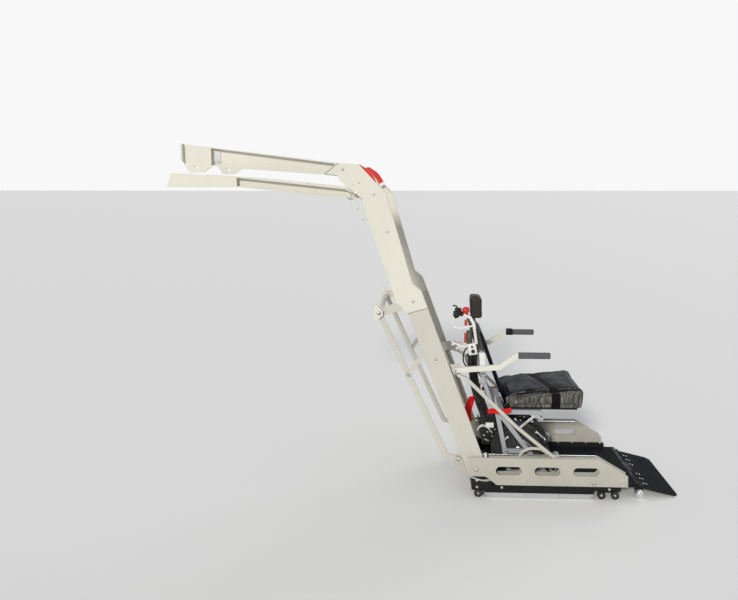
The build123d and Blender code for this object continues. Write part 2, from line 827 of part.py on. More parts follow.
def chair_side(side):
    rear_foot, front_foot = ((x, chair_foot_z) for x in chair_foot_xs)
    rail_rear, rail_front = ((x, seat_rail_z) for x in seat_rail_x)
    lines = (
        [rail_rear, rear_foot],
        [shifted(rail_rear, 10, -4), front_foot],
        [rear_foot, front_foot],
        [rail_rear, rail_front],
        [(x, chair_wheel_z) for x in axle_bar_x],
    )
    frame = Part()
    for line in lines:
        frame += side_bar(line, chair_bar, side, chair_inner, chair_outer)
    hub_end = chair_wheel_plane - chair_wheel_width / 2 - 3
    axle = (chair_wheel_x, chair_wheel_z, chair_axle_radius, side)
    frame += side_cylinder(*axle, hub_end, chair_inner)
    arm_x = (caster_arm_start_x, caster_arm_end_x)
    arm_inner = chair_inner - caster_arm_depth
    frame += side_block(arm_x, side, arm_inner, chair_inner, caster_arm_z)
    cross_x = (2 * caster_x - caster_arm_end_x, caster_arm_end_x)
    frame += side_block(cross_x, side, caster_plane, arm_inner, caster_arm_z)
    stem_middle_z = caster_arm_z[1] + 2 - caster_boss_height / 2
    stem = Pos(caster_x, side * caster_plane, stem_middle_z)
    frame += stem * Cylinder(2 * caster_stem_radius, caster_boss_height)
    return frame - stem * Cylinder(caster_stem_radius + pin_clearance, caster_boss_height)


def chair_wheel(side):
    inner = chair_wheel_plane - chair_wheel_width / 2
    outer = chair_wheel_plane + chair_wheel_width / 2
    place = (chair_wheel_x, chair_wheel_z)
    wheel = side_cylinder(*place, chair_wheel_radius, side, inner, outer)
    return wheel - side_cylinder(*place, chair_axle_radius + pin_clearance, side, inner, outer)


def back_posts():
    """Two bent posts behind the backrest, with bars across to the column."""
    half = post_width / 2
    posts = Part()
    for name, side in SIDES:
        posts += side_bar(post_line, post_width, side, chair_inner, chair_outer, post_bend)
        seat_rail = [(x, seat_rail_z) for x in seat_rail_x]
        posts -= side_bar(seat_rail, chair_bar, side, chair_inner, chair_outer)
    for z in post_bar_zs:
        x = along(post_line[1], post_line[2], z, key=1)[0]
        if z > post_line[2][1]:
            x = along(post_line[2], post_line[3], z, key=1)[0]
        bar_z = (z - post_bar_height / 2, z + post_bar_height / 2)
        posts += block((x - half + 2, x + half - 2), (-chair_inner, chair_inner), bar_z)
    return posts


def chair_frame():
    frame = chair_side(-1) + chair_side(1)
    for x in cross_bar_xs:
        bar_y = (-chair_inner, chair_inner)
        frame += block((x, x + chair_bar), bar_y, (seat_rail_low_z, board_low_z))
    write("chair_frame", frame)
    board_y = (-board_half_width, board_half_width)
    write("seat_board", block(board_x, board_y, (board_low_z, board_top_z)))
    write("back_posts", back_posts())
    for name, side in SIDES:
        write("chair_wheel_" + name, chair_wheel(side))


def caster_fork(middle):
    """A stem, a crown and two cheeks with the caster's pin."""
    axle_x = caster_x - caster_trail
    half = caster_width / 2
    stem_top = caster_arm_z[1] + 3
    stem = Cylinder(caster_stem_radius, stem_top - crown_z[1])
    fork = Pos(caster_x, middle, (crown_z[1] + stem_top) / 2) * stem
    crown_y = (middle - half - 6, middle + half + 6)
    fork += block((axle_x - 10, caster_x + 14), crown_y, crown_z)
    fork += cross_cylinder(axle_x, caster_z, caster_pin_radius, *crown_y)
    for cheek in (-1, 1):
        cheek_y = sorted((middle + cheek * (half + 2), middle + cheek * (half + 6)))
        fork += block((axle_x - 10, axle_x + 10), cheek_y, (caster_z - 10, crown_z[0]))
    return fork


def casters():
    axle_x = caster_x - caster_trail
    for name, side in SIDES:
        middle = side * caster_plane
        write("caster_fork_" + name, caster_fork(middle))
        wheel_y = (middle - caster_width / 2, middle + caster_width / 2)
        wheel = cross_cylinder(axle_x, caster_z, caster_radius, *wheel_y)
        wheel -= cross_cylinder(axle_x, caster_z, caster_pin_radius + pin_clearance, *wheel_y)
        write("caster_wheel_" + name, wheel)


def seat():
    low = board_top_z + soft_gap
    top = low + cushion_front_thickness
    rear_top = low + cushion_rear_thickness
    cushion = [
        (back_front_x(low) + 2, low),
        (seat_front_x - 4, low),
        (seat_front_x + 6, low + 30),
        (seat_front_x + 4, top - 12),
        (seat_front_x - 12, top),
        (back_front_x(rear_top) + 14, rear_top),
        (back_front_x(rear_top - 14) + 2, rear_top - 14),
    ]
    write("seat_cushion", plate(cushion, -seat_half_width, seat_half_width))
    depth = (0, back_thickness)
    write("backrest", back_strip(back_top_z, board_low_z, *depth, back_half_width))
    depth = (back_thickness, back_thickness + column_depth)
    column_top = back_line[0][1]
    column = back_strip(column_top, column_low_z, *depth, column_half_width)
    write("back_column", column - back_posts())
    half = head_pad_depth / 2
    pad_top = column_top + head_pad_height
    pad = [
        (head_pad_middle_x - half, column_top),
        (head_pad_middle_x + half, column_top),
        (head_pad_middle_x + half - 8, pad_top - 16),
        (head_pad_middle_x + half - 20, pad_top),
        (head_pad_middle_x - half + 4, pad_top),
        (head_pad_middle_x - half - 6, pad_top - 16),
    ]
    write("head_pad", plate(pad, -head_pad_half_width, head_pad_half_width))


def drive_unit():
    """The chair's motor housing with the battery box behind it."""
    motor_y = (-drive_half_width, drive_half_width)
    motor = block(drive_x, motor_y, (drive_low_z, seat_rail_low_z))
    battery_y = (-battery_half_width, battery_half_width)
    battery = block((battery_start_x, drive_x[0]), battery_y, battery_z)
    write("drive_unit", motor + battery)


def controls():
    box_y = (control_plane - control_box_reach, -column_half_width)
    box = block(control_box_x, box_y, control_box_z)
    write("control_box", box)
    handle = tube([(x, control_plane, z) for x, z in handle_line], handle_radius, handle_bend)
    half = lever_width / 2
    handle += side_bar(lever_line, lever_width, -1, -control_plane - half, -control_plane + half)
    write("push_handle", handle - box)
    (end_x, end_z), (bend_x, bend_z) = handle_line[:2]
    outward = (end_x - bend_x, 0, end_z - bend_z)
    grip_start = Plane(origin=(end_x, control_plane, end_z), z_dir=outward)
    grip = Pos(0, 0, handle_grip_length / 2) * Cylinder(handle_grip_radius, handle_grip_length)
    write("handle_grip", grip_start * grip)
    cylinder_low, cylinder_top = cylinder_z
    middle = Pos(cylinder_x, control_plane + cylinder_offset, (cylinder_low + cylinder_top) / 2)
    write("control_cylinder", middle * Cylinder(cylinder_radius, cylinder_top - cylinder_low))
    inner, outer = (-control_plane - depth for depth in finger_depth)
    write("finger_lever", side_bar(finger_line, finger_width, -1, inner, outer) - box)


def tie_strap(side):
    reach = chair_outer + tie_strap_thickness
    return side_bar(tie_strap_line, tie_strap_width, side, chair_outer, reach)


side_frames()
base()
platform()
ramp()
ties()
chair_frame()
casters()
seat()
drive_unit()
controls()
write_pair("tie_straps", tie_strap)
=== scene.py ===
import bmesh
import bpy
import json
import math
from mathutils import Matrix, Vector, noise
from mathutils.bvhtree import BVHTree


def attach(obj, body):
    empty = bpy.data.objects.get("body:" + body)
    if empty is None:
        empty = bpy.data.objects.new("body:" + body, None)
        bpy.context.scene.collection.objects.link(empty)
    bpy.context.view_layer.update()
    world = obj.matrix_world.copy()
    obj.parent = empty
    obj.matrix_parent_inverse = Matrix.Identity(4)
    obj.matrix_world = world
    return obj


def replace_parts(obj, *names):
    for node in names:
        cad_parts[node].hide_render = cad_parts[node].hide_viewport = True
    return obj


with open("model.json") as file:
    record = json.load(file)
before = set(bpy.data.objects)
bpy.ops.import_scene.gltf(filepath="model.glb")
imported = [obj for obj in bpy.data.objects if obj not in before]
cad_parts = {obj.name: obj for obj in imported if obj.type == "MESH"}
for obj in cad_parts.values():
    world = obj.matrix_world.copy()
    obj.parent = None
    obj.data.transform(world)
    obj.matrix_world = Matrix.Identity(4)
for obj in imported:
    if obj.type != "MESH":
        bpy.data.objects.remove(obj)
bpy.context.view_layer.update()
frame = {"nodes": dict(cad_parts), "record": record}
nodes = frame["nodes"]
SIDES = {"near": -1, "far": 1}
MM = 0.001
SMOOTH_ANGLE = math.radians(40)

# Camera of the photograph: eye height, pitch and yaw from its horizon and vanishing point
PHOTO_WIDTH = 738
PHOTO_FOCAL_PX = 690.0
PHOTO_CENTRE_X = 398.0
SENSOR_WIDTH_MM = 36.0
CAMERA_PLACE = (0.0, -3.799, 1.65)
CAMERA_PITCH = 9.462
CAMERA_YAW = 2.619

# Light: the world is dim where it lights the object, and near white where it is seen
WORLD_COLOUR = (0.93, 0.96, 1.0, 1)
WORLD_LIGHT = 0.38
WORLD_SEEN = 0.94
STAGE_SIZE = 400
STAGE_HEIGHT = -0.0006
STAGE_COLOUR = (0.88, 0.88, 0.87, 1)
# Lamps: the direction to each, its strength, its softness in degrees and its colour
LAMPS = {
    "key": ((-0.27, -0.88, 0.44), 2.3, 9, (1.0, 0.975, 0.93)),
    "rim": ((0.5, 0.75, 0.55), 0.5, 30, (0.94, 0.97, 1.0)),
}


def make_camera():
    data = bpy.data.cameras.new("camera")
    data.sensor_width = SENSOR_WIDTH_MM
    data.lens = PHOTO_FOCAL_PX / PHOTO_WIDTH * SENSOR_WIDTH_MM
    data.shift_x = (PHOTO_WIDTH / 2 - PHOTO_CENTRE_X) / PHOTO_WIDTH
    camera = bpy.data.objects.new("camera", data)
    camera.location = CAMERA_PLACE
    camera.rotation_euler = (math.radians(90 - CAMERA_PITCH), 0, math.radians(CAMERA_YAW))
    bpy.context.scene.collection.objects.link(camera)
    bpy.context.scene.camera = camera


def sun_light(name, direction, strength, softness, colour):
    """A distant lamp; direction points from the object to the lamp."""
    data = bpy.data.lights.new(name, "SUN")
    data.angle = math.radians(softness)
    data.energy = strength
    data.color = colour
    lamp = bpy.data.objects.new(name, data)
    lamp.rotation_euler = Vector(direction).to_track_quat("Z", "Y").to_euler()
    bpy.context.scene.collection.objects.link(lamp)


def add_node(tree, kind, sockets=(), **settings):
    """Adds a shader node; sockets gives its inputs values or the outputs of other nodes."""
    node = tree.nodes.new("ShaderNode" + kind)
    for name, value in settings.items():
        setattr(node, name, value)
    for key, value in dict(sockets).items():
        if isinstance(value, bpy.types.NodeSocket):
            tree.links.new(value, node.inputs[key])
        else:
            node.inputs[key].default_value = value
    return node


def seen_ray(tree):
    """1 for camera, glossy and transmission rays, and 0 for those that light the object."""
    path = add_node(tree, "LightPath")
    total = path.outputs["Is Camera Ray"]
    for name in ("Is Glossy Ray", "Is Transmission Ray"):
        sockets = {0: total, 1: path.outputs[name]}
        total = add_node(tree, "Math", sockets, operation="MAXIMUM").outputs[0]
    return total


def make_world():
    bpy.context.scene.view_settings.view_transform = "Standard"
    world = bpy.data.worlds.new("world")
    world.use_nodes = True
    bpy.context.scene.world = world
    tree = world.node_tree
    light = tree.nodes["Background"]
    light.inputs["Color"].default_value = WORLD_COLOUR
    light.inputs["Strength"].default_value = WORLD_LIGHT
    seen = add_node(tree, "Background", {"Color": (1, 1, 1, 1), "Strength": WORLD_SEEN})
    sockets = {0: seen_ray(tree), 1: light.outputs[0], 2: seen.outputs[0]}
    mix = add_node(tree, "MixShader", sockets)
    tree.links.new(mix.outputs[0], tree.nodes["World Output"].inputs["Surface"])


def make_stage():
    bpy.ops.mesh.primitive_plane_add(size=STAGE_SIZE, location=(0, 0, STAGE_HEIGHT))
    floor = bpy.context.object
    floor.name = "stage_floor"
    material = bpy.data.materials.new("stage")
    material.use_nodes = True
    shader = material.node_tree.nodes["Principled BSDF"]
    shader.inputs["Base Color"].default_value = STAGE_COLOUR
    shader.inputs["Roughness"].default_value = 0.85
    floor.data.materials.append(material)


# Materials


class Paint:
    """A principled material whose layers of procedural detail pile up on one colour."""

    def __init__(self, name, colour, roughness, metallic=0.0, specular=0.5):
        self.material = bpy.data.materials.new(name)
        self.material.use_nodes = True
        self.material.diffuse_color = (*colour, 1)
        self.tree = self.material.node_tree
        self.shader = self.tree.nodes["Principled BSDF"]
        self.shader.inputs["Metallic"].default_value = metallic
        self.shader.inputs["Roughness"].default_value = roughness
        self.shader.inputs["Specular IOR Level"].default_value = specular
        self.coords = self.node("TexCoord").outputs["Object"]
        self.colour = self.node("RGB").outputs[0]
        self.colour.default_value = (*colour, 1)
        self.normal = None

    def node(self, kind, sockets=(), **settings):
        return add_node(self.tree, kind, sockets, **settings)

    def math(self, operation, first, second):
        return self.node("Math", {0: first, 1: second}, operation=operation).outputs[0]

    def times(self, first, second):
        return self.math("MULTIPLY", first, second)

    def noise(self, scale, detail, rough=0.55, stretch=None):
        place = self.coords
        if stretch:
            place = self.node("Mapping", {"Vector": place, "Scale": stretch}).outputs[0]
        sockets = {"Vector": place, "Scale": scale, "Detail": detail, "Roughness": rough}
        return self.node("TexNoise", sockets).outputs["Fac"]

    def cells(self, scale, feature="F1"):
        sockets = {"Vector": self.coords, "Scale": scale}
        return self.node("TexVoronoi", sockets, feature=feature).outputs["Distance"]

    def wave(self, scale, direction):
        sockets = {"Vector": self.coords, "Scale": scale}
        return self.node("TexWave", sockets, bands_direction=direction).outputs["Fac"]

    def ramp(self, value, low, high, start=0.0, end=1.0):
        """Takes value from start, where it is low, smoothly to end, where it is high."""
        sockets = {"Value": value, "From Min": low, "From Max": high, "To Min": start,
                   "To Max": end}
        node = self.node("MapRange", sockets, interpolation_type="SMOOTHSTEP")
        return node.outputs["Result"]

    def edges(self, radius):
        """Rounds the edges for the light; 1 on an edge and 0 on a flat face."""
        self.normal = self.node("Bevel", {"Radius": radius}, samples=4).outputs[0]
        sockets = {0: self.normal, 1: self.node("NewGeometry").outputs["Normal"]}
        dot = self.node("VectorMath", sockets, operation="DOT_PRODUCT")
        return self.ramp(self.math("SUBTRACT", 1.0, dot.outputs["Value"]), 0.02, 0.25)

    def worn(self, edge, scale, detail, low, high):
        """The places where an edge is rubbed."""
        return self.times(edge, self.ramp(self.noise(scale, detail, 0.7), low, high))

    def tint(self, mask, colour):
        sockets = {"Factor": mask, 6: self.colour, 7: (*colour, 1)}
        self.colour = self.node("Mix", sockets, data_type="RGBA").outputs[2]

    def patches(self, colour, scale, detail, low, high, amount, rough=0.55, stretch=None):
        """Tints the places where a noise is high, by up to amount."""
        spots = self.noise(scale, detail, rough, stretch)
        self.tint(self.ramp(spots, low, high, 0.0, amount), colour)

    def rough(self, value):
        self.tree.links.new(value, self.shader.inputs["Roughness"])

    def uneven(self, scale, detail, smooth, rough, high=0.7):
        """Lets the roughness wander between two values."""
        self.rough(self.ramp(self.noise(scale, detail), 0.3, high, smooth, rough))

    def relief(self, value, strength, distance):
        sockets = {"Strength": strength, "Distance": distance, "Height": value}
        if self.normal is not None:
            sockets["Normal"] = self.normal
        self.normal = self.node("Bump", sockets).outputs[0]

    def grain(self, scale, detail, strength, distance):
        self.relief(self.noise(scale, detail), strength, distance)

    def done(self):
        self.tree.links.new(self.colour, self.shader.inputs["Base Color"])
        self.tree.links.new(self.normal, self.shader.inputs["Normal"])
        return self.material


def enamel(name, colour, dirt, roughness=0.38, grime=0.35):
    """Sprayed enamel: orange peel, dusty patches, streaks, chips, grime near the ground and a
    painted highlight along the edges.
    """
    chips = (0.30, 0.28, 0.25)
    paint = Paint(name, colour, roughness, specular=0.45)
    edge = paint.edges(0.0022)
    worn = paint.worn(edge, 48, 4, 0.42, 0.62)
    # Edges tinted a lighter tone of the paint: a painted highlight along every edge
    paint.tint(paint.times(edge, 0.35), tuple(min(c * 1.25, 0.9) for c in colour))
    paint.tint(paint.times(worn, 0.55), chips)
    paint.patches(dirt, 2.3, 4, 0.35, 0.75, 0.35)
    paint.patches(dirt, 26, 5, 0.52, 0.80, 0.30, 0.65, (1, 1, 0.18))
    specks = paint.ramp(paint.noise(330, 2, 0.5), 0.68, 0.74)
    clusters = paint.ramp(paint.noise(7, 3), 0.48, 0.60)
    paint.tint(paint.times(specks, clusters), chips)
    height = paint.node("SeparateXYZ", {0: paint.coords}).outputs["Z"]
    low = paint.times(paint.ramp(height, 0.0, 0.45, 1.0, 0.0), paint.noise(14, 5, 0.7))
    paint.tint(paint.ramp(low, 0.15, 0.75, 0.0, grime), chips)
    paint.uneven(9, 4, roughness - 0.06, roughness + 0.14)
    paint.grain(900, 2, 0.10, 0.0006)
    paint.grain(35, 2, 0.06, 0.002)
    return paint.done()


def worn_black(name):
    """Black paint, rubbed to grey along its edges and in scuffs."""
    wear = (0.16, 0.16, 0.16)
    paint = Paint(name, (0.010, 0.010, 0.011), 0.5, specular=0.14)
    paint.tint(paint.worn(paint.edges(0.0015), 40, 5, 0.48, 0.66), wear)
    paint.patches(wear, 60, 6, 0.64, 0.82, 0.45, 0.75, (0.25, 1, 1))
    paint.patches((0.075, 0.070, 0.062), 5, 5, 0.55, 0.85, 0.25)
    paint.uneven(22, 4, 0.4, 0.7)
    paint.grain(600, 3, 0.15, 0.0005)
    return paint.done()


def gritty(name, colour, scale, strength):
    """A coarse anti-slip coating with dust in its low places."""
    paint = Paint(name, colour, 0.8, specular=0.05)
    worn = paint.worn(paint.edges(0.0024), 30, 4, 0.35, 0.60)
    paint.tint(paint.times(worn, 0.8), (0.16, 0.17, 0.19))
    grains = paint.cells(scale)
    paint.tint(paint.ramp(grains, 0.25, 0.55, 0.0, 0.25), (0.022, 0.023, 0.028))
    paint.patches((0.035, 0.034, 0.036), 6, 5, 0.52, 0.82, 0.30, 0.7)
    paint.patches((0.12, 0.12, 0.12), 150, 3, 0.66, 0.74, 0.5, 0.6)
    paint.uneven(120, 3, 0.65, 0.95)
    paint.relief(grains, strength, 0.0012)
    return paint.done()


def bare_metal(name, colour, roughness=0.28, brushed=(1, 30, 30)):
    """Brushed metal with stains; brushed stretches its grain."""
    paint = Paint(name, colour, roughness, 1.0)
    grain = paint.noise(40, 4, 0.6, brushed)
    paint.patches((0.25, 0.22, 0.19), 11, 5, 0.55, 0.85, 0.5, 0.7)
    paint.rough(paint.ramp(grain, 0.25, 0.75, roughness - 0.1, roughness + 0.18))
    paint.relief(grain, 0.08, 0.0004)
    return paint.done()


def chrome(name):
    paint = Paint(name, (0.80, 0.80, 0.81), 0.12, 1.0)
    paint.patches((0.30, 0.29, 0.27), 45, 5, 0.55, 0.8, 0.45, 0.7)
    paint.uneven(30, 4, 0.06, 0.34, 0.8)
    paint.grain(200, 2, 0.03, 0.0005)
    return paint.done()


def plastic(name, colour, roughness, dust=(0.32, 0.31, 0.29), amount=0.2, specular=0.45):
    paint = Paint(name, colour, roughness, specular=specular)
    paint.patches(dust, 8, 5, 0.45, 0.8, amount, 0.7)
    paint.uneven(24, 3, roughness - 0.06, roughness + 0.12)
    paint.grain(420, 2, 0.15, 0.0005)
    return paint.done()


def vinyl(name, side=None, pleats=False, colour=(0.0030, 0.0040, 0.0110)):
    """Upholstery vinyl with a pebbled grain and worn sheen; side is its side panels' colour, and
    pleats adds upright streaks of painted shade and painted highlight on those panels.
    """
    paint = Paint(name, colour, 0.42, specular=0.08)
    if side:
        normal = paint.node("TexCoord").outputs["Normal"]
        across = paint.node("SeparateXYZ", {0: normal}).outputs["Y"]
        panel = paint.ramp(paint.math("ABSOLUTE", across, 0.0), 0.50, 0.72)
        paint.tint(panel, side)
    # Pleats: upright streaks on the side panels, darker in the creases (painted shade) and lighter
    # on the ridges (painted highlight)
    if pleats:
        for scale, squash, low, high, amount, share in (
            (95, 0.07, 0.46, 0.60, 0.75, 0.20), (120, 0.06, 0.52, 0.62, 0.7, 2.4),
        ):
            streaks = paint.noise(scale, 3, 0.5, (1, 1, squash))
            mask = paint.times(panel, paint.ramp(streaks, low, high, 0.0, amount))
            paint.tint(mask, tuple(share * c for c in side))
    pebbles = paint.cells(620, "SMOOTH_F1")
    paint.patches((0.010, 0.011, 0.022), 5, 4, 0.45, 0.8, 0.25)
    paint.patches((0.040, 0.038, 0.038), 30, 6, 0.62, 0.85, 0.25, 0.7)
    paint.uneven(12, 4, 0.34, 0.52)
    paint.relief(paint.noise(26, 4, 0.6, (1, 1, 0.25)), 0.25, 0.004)
    paint.relief(pebbles, 0.30, 0.0006)
    return paint.done()


def webbing(name, colour, dark):
    """Woven strap: fine ribs in two directions."""
    paint = Paint(name, colour, 0.8, specular=0.10)
    ribs = paint.math("ADD", paint.wave(260, "X"), paint.wave(260, "Z"))
    paint.tint(paint.ramp(ribs, 0.2, 1.6, 0.6, 0.0), dark)
    paint.patches(dark, 40, 4, 0.5, 0.8, 0.3)
    paint.relief(ribs, 0.5, 0.0006)
    return paint.done()


def foam(name, colour, light):
    paint = Paint(name, colour, 0.9)
    pores = paint.cells(700)
    paint.tint(paint.ramp(pores, 0.1, 0.6, 0.0, 0.5), light)
    paint.patches(light, 18, 4, 0.45, 0.75, 0.3)
    paint.relief(pores, 0.6, 0.0008)
    paint.grain(60, 3, 0.15, 0.0015)
    return paint.done()


def rubber(name, colour):
    paint = Paint(name, colour, 0.72, specular=0.25)
    paint.patches((0.075, 0.072, 0.066), 9, 5, 0.42, 0.75, 0.45, 0.7)
    paint.uneven(30, 3, 0.6, 0.9)
    paint.grain(500, 3, 0.25, 0.0006)
    return paint.done()


# Each material: its recipe, its colour and the recipe's other values in their order
RECIPES = {
    "beige_paint": (enamel, (0.560, 0.541, 0.478), (0.43, 0.41, 0.345)),
    "upper_paint": (enamel, (0.69, 0.668, 0.585), (0.53, 0.505, 0.42)),
    "guard_paint": (enamel, (0.485, 0.472, 0.412), (0.38, 0.365, 0.305), 0.38, 0.5),
    "arm_paint": (enamel, (0.70, 0.685, 0.61), (0.52, 0.50, 0.43), 0.34),
    "chair_paint": (enamel, (0.36, 0.385, 0.40), (0.25, 0.27, 0.28), 0.32),
    "column_paint": (enamel, (0.075, 0.062, 0.052), (0.045, 0.038, 0.033), 0.5),
    "black_paint": (worn_black,),
    "ramp_coating": (gritty, (0.008, 0.009, 0.013), 520, 0.6),
    "floor_coating": (gritty, (0.008, 0.0085, 0.011), 380, 0.45),
    "bare_steel": (bare_metal, (0.66, 0.67, 0.68)),
    "fork_steel": (bare_metal, (0.60, 0.61, 0.62), 0.25, (20, 20, 1)),
    "bolt_steel": (bare_metal, (0.50, 0.50, 0.49), 0.24, (1, 1, 1)),
    "roller_chrome": (chrome,),
    "grey_plastic": (plastic, (0.60, 0.61, 0.59), 0.45),
    "white_plastic": (plastic, (0.78, 0.78, 0.76), 0.35),
    "red_plastic": (plastic, (0.56, 0.030, 0.018), 0.38, (0.26, 0.06, 0.05), 0.2, 0.3),
    "roller_plastic": (plastic, (0.025, 0.025, 0.025), 0.5, (0.12, 0.12, 0.11), 0.3, 0.3),
    "wheel_plastic": (plastic, (0.030, 0.030, 0.031), 0.5, (0.10, 0.10, 0.10), 0.2, 0.3),
    "black_housing": (plastic, (0.012, 0.012, 0.013), 0.55, (0.10, 0.10, 0.10), 0.15, 0.25),
    "seam_dark": (plastic, (0.10, 0.09, 0.075), 0.8),
    "grip_foam": (foam, (0.064, 0.063, 0.070), (0.13, 0.125, 0.135)),
    "chair_tyre": (rubber, (0.012, 0.012, 0.012)),
    "webbing": (webbing, (0.0070, 0.0050, 0.0045), (0.0030, 0.0025, 0.0025)),
    "red_webbing": (webbing, (0.74, 0.020, 0.020), (0.40, 0.010, 0.012)),
    "vinyl": (vinyl,),
    "seat_vinyl": (vinyl, (0.092, 0.088, 0.080), True),
    "head_vinyl": (vinyl, (0.044, 0.037, 0.032)),
    "welt_vinyl": (vinyl, None, False, (0.009, 0.009, 0.011)),
}
MATERIALS = {name: recipe(name, *values) for name, (recipe, *values) in RECIPES.items()}


def dress(slot, *names):
    for name in names:
        mesh = nodes[name].data
        mesh.materials.clear()
        mesh.materials.append(MATERIALS[slot])


def dress_frame_nodes():
    for entry in frame["record"]["subparts"]:
        dress(entry["material_slot"], entry["node"])
    dress("guard_paint", "side_guards", "foot_brackets")
    dress("upper_paint", "upper_masts", "top_rails", "bottom_rails", "door_pads")
    dress("floor_coating", "floor")
    dress("red_webbing", "tie_straps")
    dress("black_paint", "ramp_hinge")
    dress("white_plastic", "push_handle", "finger_lever")


# Mesh helpers: all their lengths are in millimetres


def p(x, y, z):
    """A point given in millimetres."""
    return Vector((x, y, z)) * MM


def mesh_from(name, build):
    """A mesh made by a function that fills a bmesh."""
    shape = bmesh.new()
    build(shape)
    bmesh.ops.recalc_face_normals(shape, faces=shape.faces)
    mesh = bpy.data.meshes.new(name)
    shape.to_mesh(mesh)
    shape.free()
    return mesh


def add_piece(name, build, slot, body, material=None):
    """A rigid piece from a function that fills a bmesh; material differs from slot if given."""
    mesh = mesh_from(name, build)
    mesh.materials.append(MATERIALS[material or slot])
    mesh.shade_smooth()
    mesh.set_sharp_from_angle(angle=SMOOTH_ANGLE)
    piece = bpy.data.objects.new(name, mesh)
    bpy.context.scene.collection.objects.link(piece)
    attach(piece, body)
    return piece


def both_sides(name, build, slot, body, material=None):
    """One piece with the same form on both sides; build takes the bmesh and the side."""
    def fill(shape):
        for side in SIDES.values():
            build(shape, side)
    return add_piece(name, fill, slot, body, material)


def axis_frame(origin, direction):
    turn = Vector(direction).normalized().to_track_quat("Z", "Y").to_matrix().to_4x4()
    return Matrix.Translation(origin) @ turn


def outward(x, y, z, side):
    return axis_frame(p(x, side * y, z), (0, side, 0))


def upright(x, y, z):
    return axis_frame(p(x, y, z), (0, 0, 1))


def turned(shape, profile, place, segments=32, wide=1, tall=1):
    """A turned form: profile is (radius, height) pairs along the place's Z."""
    rings = []
    for radius, height in profile:
        angles = [2 * math.pi * step / segments for step in range(segments if radius else 1)]
        rings.append([
            shape.verts.new(place @ p(wide * radius * math.cos(angle),
                                      wide * radius * math.sin(angle), tall * height))
            for angle in angles
        ])
    for lower, upper in zip(rings, rings[1:]):
        for step in range(segments):
            after = (step + 1) % segments
            if len(lower) == 1 and len(upper) == 1:
                continue
            if len(lower) == 1:
                shape.faces.new((lower[0], upper[step], upper[after]))
            elif len(upper) == 1:
                shape.faces.new((lower[step], lower[after], upper[0]))
            else:
                shape.faces.new((lower[step], lower[after], upper[after], upper[step]))


def mirrored(half):
    """A turned profile whose second half mirrors the first."""
    return half + [(radius, -height) for radius, height in reversed(half)]


def ring_form(shape, profile, place, segments):
    """A turned form whose profile closes on itself."""
    turned(shape, profile + profile[:1], place, segments)
    bmesh.ops.remove_doubles(shape, verts=shape.verts, dist=1e-6)


def soften(shape, corners, bevel, segments=2):
    """Rounds every edge between the corners."""
    edges = list(dict.fromkeys(edge for corner in corners for edge in corner.link_edges))
    bmesh.ops.bevel(shape, geom=edges, offset=bevel * MM, segments=segments, affect="EDGES",
                    profile=0.5, clamp_overlap=True)


def block(shape, low, high, bevel=1.0, segments=2, turn=Matrix()):
    """A block with rounded edges; turn is a matrix that puts it in its place."""
    low, high = p(*low), p(*high)
    place = turn @ Matrix.Translation((low + high) / 2) @ Matrix.Diagonal((*(high - low), 1))
    made = bmesh.ops.create_cube(shape, size=1.0, matrix=place)
    soften(shape, made["verts"], bevel, segments)


def prism(shape, outline, low, high, bevel=0.0):
    """A plate outlined in X and Z, between two values of Y."""
    front, back = [[shape.verts.new(p(x, y, z)) for x, z in outline] for y in (low, high)]
    shape.faces.new(front)
    shape.faces.new(list(reversed(back)))
    for step in range(len(outline)):
        after = (step + 1) % len(outline)
        shape.faces.new((front[after], front[step], back[step], back[after]))
    if bevel:
        soften(shape, front + back, bevel)


def side_box(shape, x, side, y, z, bevel=0.8, turn=Matrix()):
    """A block from its ranges of X, Y and Z, with Y counted outward."""
    inner, outer = sorted((side * y[0], side * y[1]))
    block(shape, (x[0], inner, z[0]), (x[1], outer, z[1]), bevel, 2, turn)


def side_prism(shape, outline, side, y, bevel=0.8):
    inner, outer = sorted((side * y[0], side * y[1]))
    prism(shape, outline, inner, outer, bevel)


def bar(shape, start, end, width, side, y, bevel=0.8):
    """A straight flat bar between two points of X and Z."""
    along = Vector((end[0] - start[0], end[1] - start[1])).normalized() * width / 2
    side_prism(shape, (
        (start[0] - along.y, start[1] + along.x), (end[0] - along.y, end[1] + along.x),
        (end[0] + along.y, end[1] - along.x), (start[0] + along.y, start[1] - along.x),
    ), side, y, bevel)


def skin(shape, rings):
    """Joins rings of points to one closed tube."""
    loops = [[shape.verts.new(Vector(point) * MM) for point in ring] for ring in rings]
    for first, second in zip(loops, loops[1:]):
        for step in range(len(first)):
            after = (step + 1) % len(first)
            shape.faces.new((first[step], first[after], second[after], second[step]))
    shape.faces.new(list(reversed(loops[0])))
    shape.faces.new(loops[-1])


def path_of(points):
    """Each point as a vector, with the direction of the path there."""
    points = [Vector(point) for point in points]
    last = len(points) - 1
    return [(point, points[min(index + 1, last)] - points[max(index - 1, 0)])
            for index, point in enumerate(points)]


def rod(shape, points, radius, sides=12):
    """A round rod through points, with mitred bends."""
    rings = []
    up = None
    for point, along in path_of(points):
        along.normalize()
        up = along.orthogonal() if up is None else up
        up = (up - along * up.dot(along)).normalized()
        side = along.cross(up)
        angles = (2 * math.pi * step / sides for step in range(sides))
        rings.append([point + radius * (math.cos(a) * up + math.sin(a) * side) for a in angles])
    skin(shape, rings)


def strap(shape, points, width, thickness, across):
    """A flat strap along points; across is the direction of its width."""
    across = Vector(across).normalized() * width / 2
    rings = []
    for point, along in path_of(points):
        normal = along.cross(across).normalized() * thickness / 2
        rings.append((point + across + normal, point + across - normal,
                      point - across - normal, point - across + normal))
    skin(shape, rings)


